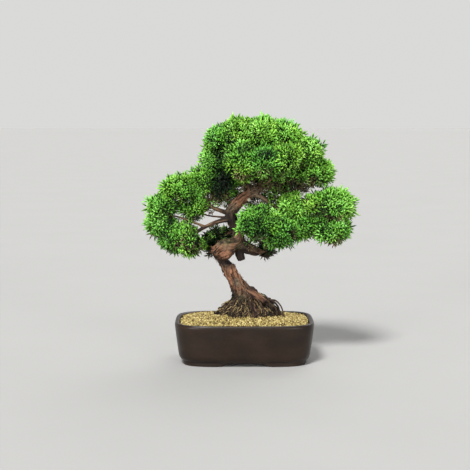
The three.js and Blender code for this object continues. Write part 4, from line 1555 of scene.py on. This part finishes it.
# Single sprays between the clouds: x, y, z of the middle, how far they reach, how many there are
# and the share of them that is dry
THIN_GROWTH = [
    [22, 14, 334, 15, 26, 0.3], [42, 10, 322, 12, 16, 0.2], [-30, 22, 368, 15, 30, 0.4],
    [-50, 16, 350, 15, 26, 0.4], [-38, 16, 338, 9, 6, 0.5], [8, 12, 350, 12, 14, 0.5],
    [-62, 8, 336, 13, 24, 0.6], [-44, 12, 340, 9, 10, 0.6],
    [4, 12, 380, 12, 16, 0.7], [36, 8, 358, 15, 26, 0.8],
    [60, 6, 354, 14, 22, 0.4], [84, 6, 358, 12, 14, 0.7], [108, 2, 354, 9, 8, 0.6],
    [-142, -6, 302, 15, 18, 0.2], [-120, -14, 293, 13, 26, 0.1], [-112, 0, 278, 10, 10, 0.4],
    [-112, 2, 307, 10, 14, 0.1], [-19, 24, 367, 9, 12, 0.4], [6, 26, 378, 9, 12, 0.5],
    [8, 16, 339, 8, 10, 0.5], [58, -12, 346, 11, 20, 0.1], [70, 14, 362, 10, 12, 0.5],
    [-72, 18, 270, 12, 14, 0.05], [-46, 22, 266, 12, 14, 0.05], [20, 6, 262, 12, 12, 0.3],
    [2, 8, 255, 11, 14, 0.6], [22, 10, 250, 12, 14, 0.6],
]
# Greens that lean to blue, and painted light, where the shoots are painted brighter and yellower:
# x, y, z of the middle and how far it reaches
BLUISH = [[-85, -20, 465, 18], [0, -60, 306, 30], [110, -20, 300, 20]]
PAINTED_SUN_SPOTS = [
    [116, -20, 452, 38], [-96, -20, 452, 26], [182, -20, 338, 34], [62, -30, 332, 18],
    [160, -30, 272, 24], [92, -24, 348, 20], [116, -44, 414, 18], [16, -84, 396, 16],
]
PAINTED_SUN_BOOST = 0.12
PAINTED_SUN_YELLOW = 0.2
BLUE_SHIFT = 0.35
TUFT_SPACING = 13.6
SPRAYS_IN_TUFT = 3
TUFT_DEPTH = 19.0
TUFT_FAN = 0.44
UPWARD_LEAN = 0.42
INNER_DEPTH = 12.0
COVERED_DEPTH = 0.74
# The cloud's surface: how wide its lumps and swells are, and how far they and the shade sink it
LUMP_WIDTH = 22
LUMP_DEPTH = 6.0
SWELL_WIDTH = 42
SWELL_DEPTH = 7.0
LEAST_SUNK = 0.8
RAGGED_TIPS = 2.4
SHADE_DEPTH = 9.0
TINT_WIDTH = 48
STRAY_SHARE = 0.13
STRAY_SIZE = 1.3
CORE_DEPTH = 23.0
CORE_POINTS = 20
CORE_RINGS = 13
CORE_HOLE = 0.12
CLOUD_SEED = 400
all_lobes = [lobe for lobes in CLOUDS.values() for lobe in lobes]

# %% Place the tufts
def ball_directions(count, draw):
    height = 1 - 2 * (np.arange(count) + 0.5) / count
    turn = GOLDEN_ANGLE * np.arange(count) + draw.uniform(0, 6.28)
    flat = np.sqrt(1 - height**2)
    directions = np.stack([flat * np.cos(turn), flat * np.sin(turn), height], 1)
    return unit(directions + draw.normal(0, 0.035, directions.shape))


def depth_in(lobe, points):
    return np.linalg.norm((points - lobe[:3]) / np.array(lobe[3:]), axis=1)


def in_window(points, margin=0.0):
    inside = np.zeros(len(points), bool)
    for x, z, reach in WINDOWS:
        inside |= np.hypot(points[:, 0] - x, points[:, 2] - z) < reach + margin
    return inside


def tuft_places(lobe, draw):
    """Feet, leans, dryness and vigour of the tufts that stand on one lobe, with painted shade and painted
    light folded into the vigour.
    """
    middle, halves = np.array(lobe[:3], float), np.array(lobe[3:], float)
    area = 4 * math.pi * np.prod(halves) ** (2 / 3)
    ways = ball_directions(int(area / TUFT_SPACING**2), draw)
    normals = unit(ways / halves)
    tops = middle + ways * halves
    lumps = noise_at(tops, 1 / LUMP_WIDTH)
    swell = noise_at(tops + 200, 1 / SWELL_WIDTH)
    sunk = LEAST_SUNK + LUMP_DEPTH * (0.5 - lumps) + SWELL_DEPTH * (0.3 - swell)
    sunk = np.maximum(sunk + np.abs(draw.normal(0, RAGGED_TIPS, len(tops))), LEAST_SUNK)
    shade = np.max([amount * zone_values(tops, [spot]) for *spot, amount in SHADY], 0)
    tops = tops - normals * (sunk + SHADE_DEPTH * shade)[:, None]
    lean = unit(normals + np.array([0, 0, UPWARD_LEAN]) + draw.normal(0, 0.14, normals.shape))
    feet = tops - lean * TUFT_DEPTH
    covered = in_window(tops, WINDOW_MARGIN) | in_window(feet, WINDOW_MARGIN)
    for other in all_lobes:
        if other is not lobe:
            covered |= depth_in(other, tops) < COVERED_DEPTH
    under = np.clip(-1.6 * normals[:, 2] - 0.3, 0, 1)
    facing_down = np.clip(0.8 - 1.5 * normals[:, 2], 0, 1)
    dry = np.clip(zone_values(tops, DRY_POCKETS) * facing_down + 0.4 * under, 0, 1)
    gone = np.clip(zone_values(tops, HOLLOWS) + 0.35 * dry + 0.25 * under, 0, 1)
    keep = ~covered & (draw.random(len(tops)) > gone)
    # Painted shade in the shady spots and where the lumps sink, and painted light in the sunny spots, set
    # how bright the tips are painted
    vigour_with_painted_light = (1.0 - 0.3 * dry) * (1.0 - shade) * (1.0 + 0.5 * np.clip(lumps, -0.5, 0.1))
    vigour_with_painted_light *= 1.0 + PAINTED_SUN_BOOST * zone_values(tops, PAINTED_SUN_SPOTS)
    return feet[keep], lean[keep], dry[keep], vigour_with_painted_light[keep]


places_of_lobes = {}
for i, (name, lobes) in enumerate(CLOUDS.items()):
    draw = np.random.default_rng(CLOUD_SEED + i)
    places_of_lobes[name] = [tuft_places(lobe, draw) for lobe in lobes]


def thin_places(draw):
    """Feet, leans and dryness of the single sprays between the clouds."""
    feet, leans, dryness = [], [], []
    for x, y, z, reach, count, dry in THIN_GROWTH:
        ways = unit(draw.normal(size=(count, 3)))
        feet.append(np.array([x, y, z]) + ways * reach * draw.uniform(0.2, 0.9, (count, 1)))
        leans.append(unit(ways + np.array([0, 0, 0.3])))
        dryness.append(np.where(draw.random(count) < dry, draw.uniform(0.6, 1.0, count), 0.15))
    feet, leans, dryness = np.vstack(feet), np.vstack(leans), np.hstack(dryness)
    clear = ~in_window(feet + 0.5 * SPRAY_LENGTH * leans, WINDOW_MARGIN)
    return feet[clear], leans[clear], dryness[clear]


thin_feet, thin_leans, thin_dryness = thin_places(np.random.default_rng(CLOUD_SEED - 1))
cloud_feet = [feet for rows in places_of_lobes.values() for feet, _, _, _ in rows]
all_feet = np.vstack([*cloud_feet, thin_feet])
print(len(all_feet), "tufts and single sprays")

# %% Grow the tufts
def turns_towards(ways, draw):
    """Turns that set a spray's own upright along each way, with any roll."""
    side = unit(np.cross(ways, draw.normal(size=ways.shape)))
    return np.stack([side, np.cross(ways, side), ways], 2)


def fanned(leans, k, first_turns, draw):
    """The kth spray's way: the sprays of a tuft lean out evenly around its middle."""
    side = unit(np.cross(leans, [0.21, 0.93, 0.3]))
    other = np.cross(leans, side)
    turn = (first_turns + 2 * np.pi * k / SPRAYS_IN_TUFT)[:, None]
    ways = leans + TUFT_FAN * (np.cos(turn) * side + np.sin(turn) * other)
    return unit(ways + draw.normal(0, 0.13, leans.shape))


def grow_tufts(pile, feet, leans, dry, vigour_with_painted_light, draw):
    """Each tuft's outer sprays."""
    count = len(feet)
    tuft_tint = 0.52 + 0.55 * noise_at(feet, 1 / TINT_WIDTH) + draw.normal(0, 0.09, count)
    # Painted light: shoots in the sunny spots are painted yellower
    tuft_tint += PAINTED_SUN_YELLOW * zone_values(feet, PAINTED_SUN_SPOTS) - BLUE_SHIFT * zone_values(feet, BLUISH)
    first_turns = draw.uniform(0, 2 * np.pi, count)
    dried = draw.random(count) < 0.8 * dry
    for k in range(SPRAYS_IN_TUFT):
        points, triangles, tip = sprays[(k + int(draw.integers(SPRAY_KINDS))) % SPRAY_KINDS]
        size = draw.uniform(0.84, 1.12, count) * (1.0 - 0.15 * dry)
        size *= np.where(draw.random(count) < STRAY_SHARE, STRAY_SIZE, 1.0)
        starts = feet + draw.normal(0, 1.0, feet.shape)
        turns = turns_towards(fanned(leans, k, first_turns, draw), draw)
        made, faces = stamp(points[None], triangles, starts, turns, size[:, None, None])
        spread = np.clip(tuft_tint + draw.normal(0, 0.1, count), 0, 1)
        # The painted shade and light of the vigour pass into the tip value here, which sets how bright
        # each spray is painted
        strength = vigour_with_painted_light * draw.uniform(0.56, 1.14, count)
        dryness = np.where(dried, draw.uniform(0.5, 1.0, count), 0.25 * dry)
        pile.add(
            made,
            faces,
            tip=np.tile(tip, count) * np.repeat(strength, len(points)),
            tint=np.repeat(spread, len(points)),
            dryness=np.repeat(dryness, len(points)),
        )


def grow_inner_sprays(pile, feet, leans, dry, draw):
    """One spray under each tuft, painted dim as painted shade. Three in ten of them are much drier than
    the tuft.
    """
    count = len(feet)
    points, triangles, tip = inner_sprays[int(draw.integers(SPRAY_KINDS))]
    starts = feet - leans * INNER_DEPTH
    turns = turns_towards(unit(leans + draw.normal(0, 0.4, leans.shape)), draw)
    made, faces = stamp(points[None], triangles, starts, turns, np.ones((count, 1, 1)))
    # Painted shade: the inner spray's tip value is cut to a third or a half, so it is painted darker
    dim = np.repeat(draw.uniform(0.3, 0.55, count), len(points))
    dryness = np.clip(dry + draw.choice([0.0, 0.6], count, p=[0.7, 0.3]), 0, 1)
    dryness = np.repeat(dryness, len(points))
    pile.add(made, faces, tip=np.tile(tip, count) * dim, tint=0.5, dryness=dryness)


def painted_shade_core(pile, lobe, draw):
    """A ball of old growth in the middle of a lobe, painted almost black as painted shade."""
    middle, halves = np.array(lobe[:3], float), np.array(lobe[3:], float) - CORE_DEPTH
    turn = 2 * np.pi * np.arange(CORE_POINTS) / CORE_POINTS
    rings = []
    for tilt in np.linspace(CORE_HOLE, math.pi - CORE_HOLE, CORE_RINGS):
        flat, height = math.sin(tilt), np.full(CORE_POINTS, -math.cos(tilt))
        way = np.stack([flat * np.cos(turn), flat * np.sin(turn), height], 1)
        rings.append(middle + way * halves * draw.uniform(0.88, 1.12, (CORE_POINTS, 1)))
    pile.add(*closed_skin(rings), tip=0.0, tint=0.5, dryness=0.15)


def make_cloud(name, lobes, seed):
    draw = np.random.default_rng(seed)
    pile = Pile()
    for lobe, (feet, leans, dry, vigour_with_painted_light) in zip(lobes, places_of_lobes[name]):
        grow_tufts(pile, feet, leans, dry, vigour_with_painted_light, draw)
        grow_inner_sprays(pile, feet, leans, dry, draw)
        painted_shade_core(pile, lobe, draw)
    cloud = pile.piece("foliage_sprays_" + name, leaf, "foliage")
    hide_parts("foliage_" + name)


for i, (name, lobes) in enumerate(CLOUDS.items()):
    make_cloud(name, lobes, CLOUD_SEED + 50 + i)

# %% [markdown]
# ## Twigs
# Under its green coat a cloud is a web of brown twigs, and it shows wherever the foliage is thin.
# Every tuft needs a way back to the trunk. The tufts nearest to the boughs are joined first, each
# to the closest wood, and their twigs then carry the tufts that are further out. That is also how
# a branch grows, so the web forks in a natural way.

# %% Join the tufts to the wood
TWIG_SEED = 71
TWIG_STEP = 8.0
TWIG_GIRTH = 0.7
TWIG_THICKENING = 0.028
TWIG_SHARE = 0.9
TWIG_CHOICES = 120
SHORTEST_TWIG = 3.0
STATIONS_FOR_A_FOOT = 12
# Twigs above this height are pale, partly as dried wood and partly as painted light in the crown's
# shade, and those below it are painted dark as painted shade
SUNNY_HEIGHT = 320.0
PALE_TWIGS = (0.4, 0.95)
DARK_TWIGS = (0.05, 0.5)
# Twigs and old sprays grow from the boughs and from the last stations of the trunk
TRUNK_TOP = 30
branches = limbs[1 + len(STUBS) :] + [limbs[0][-TRUNK_TOP:]]


def twig_path(start, foot, gap, draw):
    count = max(2, round(gap / TWIG_STEP))
    share = np.linspace(0, 1, count + 1)[:, None]
    bow = draw.normal(0, 0.13 * gap, 3) * np.sin(np.pi * share)
    wander = draw.normal(0, 0.5, (count + 1, 3)) * np.sin(np.pi * share)
    return start + (foot - start) * share + bow + wander


def clear_start(foot, places, gaps):
    """The nearest place from which a straight twig doesn't cross a window."""
    order = np.argsort(gaps)[:TWIG_CHOICES]
    for place in order:
        way = places[place] + np.linspace(0.1, 0.9, 5)[:, None] * (foot - places[place])
        if not in_window(way).any():
            return gaps[place], place
    return gaps[order[0]], order[0]


def grow_twigs():
    """A twig to each tuft, from the closest station of the wood or of an earlier twig."""
    draw = np.random.default_rng(TWIG_SEED)
    pile = Pile()
    wood = np.vstack(branches)
    first = np.array([np.linalg.norm(wood[:, :3] - foot, axis=1).min() for foot in all_feet])
    count = len(wood)
    stations = np.zeros((count + STATIONS_FOR_A_FOOT * len(all_feet), 4))
    stations[:count] = wood
    for foot in all_feet[np.argsort(first)]:
        gaps = np.linalg.norm(stations[:count, :3] - foot, axis=1)
        gap, nearest = clear_start(foot, stations[:count, :3], gaps)
        if gap < SHORTEST_TWIG:
            continue
        path = twig_path(stations[nearest, :3], foot, gap, draw)
        thick = min(TWIG_SHARE * stations[nearest, 3], TWIG_GIRTH + TWIG_THICKENING * gap)
        radius = np.linspace(thick, TWIG_GIRTH, len(path))
        line = np.column_stack([path, radius])
        # Pale above the height, partly dried wood and partly painted light; dark below it, painted shade
        tone = draw.uniform(*(PALE_TWIGS if foot[2] > SUNNY_HEIGHT else DARK_TWIGS))
        pile.add(*tube(line, 3), tint=tone)
        stations[count : count + len(path) - 1] = line[1:]
        count += len(path) - 1
    return pile


grow_twigs().piece("twigs", root_finish, "bark")

# %% [markdown]
# ## Old sprays along the boughs
# The boughs aren't bare either. Short sprays from earlier years cling to the upper ones all along,
# most of them dead and brown, and thin growth fills the space between the crown and the lower
# clouds. All of them are copies of one spray.

# %% Grow the old sprays
OLD_SPRAY_SEED = 83
OLD_SPRAY_SHARE = 0.8
OLD_SPRAY_SIZES = (0.6, 1.05)
# The two ways dry that an old spray can be, and the share of the sprays for each
DRYNESSES = [0.3, 0.95]
DRYNESS_SHARES = [0.3, 0.7]
THICKEST_BOUGH = 6.5
BARE_STATIONS = 3


def places_on_branches(draw):
    """Feet and leans of the old sprays that stand on the branches."""
    feet, leans = [], []
    for line in branches:
        along, normal, across = carried_frames(line[:, :3])
        for i in range(BARE_STATIONS, len(line) - 1):
            too_thick, too_low = line[i, 3] > THICKEST_BOUGH, line[i, 2] < SUNNY_HEIGHT
            if too_thick or too_low or draw.random() > OLD_SPRAY_SHARE:
                continue
            turn = draw.uniform(0, 2 * np.pi)
            out = math.cos(turn) * normal[i] + math.sin(turn) * across[i]
            feet.append(line[i, :3] + out * line[i, 3] * 0.7)
            leans.append(unit(out + 0.6 * along[i] + np.array([0, 0, 0.2])))
    return feet, leans


def grow_old_sprays():
    draw = np.random.default_rng(OLD_SPRAY_SEED)
    feet, leans = places_on_branches(draw)
    dryness = draw.choice(DRYNESSES, len(feet), p=DRYNESS_SHARES)
    feet, leans = np.vstack([feet, thin_feet]), np.vstack([leans, thin_leans])
    dryness = np.hstack([dryness, thin_dryness])
    pile = Pile()
    points, triangles, tip = sprays[0]
    sizes = draw.uniform(*OLD_SPRAY_SIZES, (len(feet), 1, 1))
    made, faces = stamp(points[None], triangles, feet, turns_towards(leans, draw), sizes)
    bright = draw.uniform(0.55, 0.9, len(feet))
    pile.add(
        made,
        faces,
        tip=np.tile(tip, len(feet)) * np.repeat(bright, len(points)),
        tint=0.5,
        dryness=np.repeat(dryness, len(points)),
    )
    return pile


grow_old_sprays().piece("old_sprays", leaf, "foliage")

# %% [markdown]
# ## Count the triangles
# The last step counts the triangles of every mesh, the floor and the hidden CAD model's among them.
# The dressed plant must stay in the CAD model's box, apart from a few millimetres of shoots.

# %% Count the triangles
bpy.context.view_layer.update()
meshes = [made.data for made in bpy.data.objects if made.type == "MESH"]
total = sum(len(mesh.loop_triangles) or len(mesh.polygons) for mesh in meshes)
print("triangles in all, with the floor and the CAD model:", total)
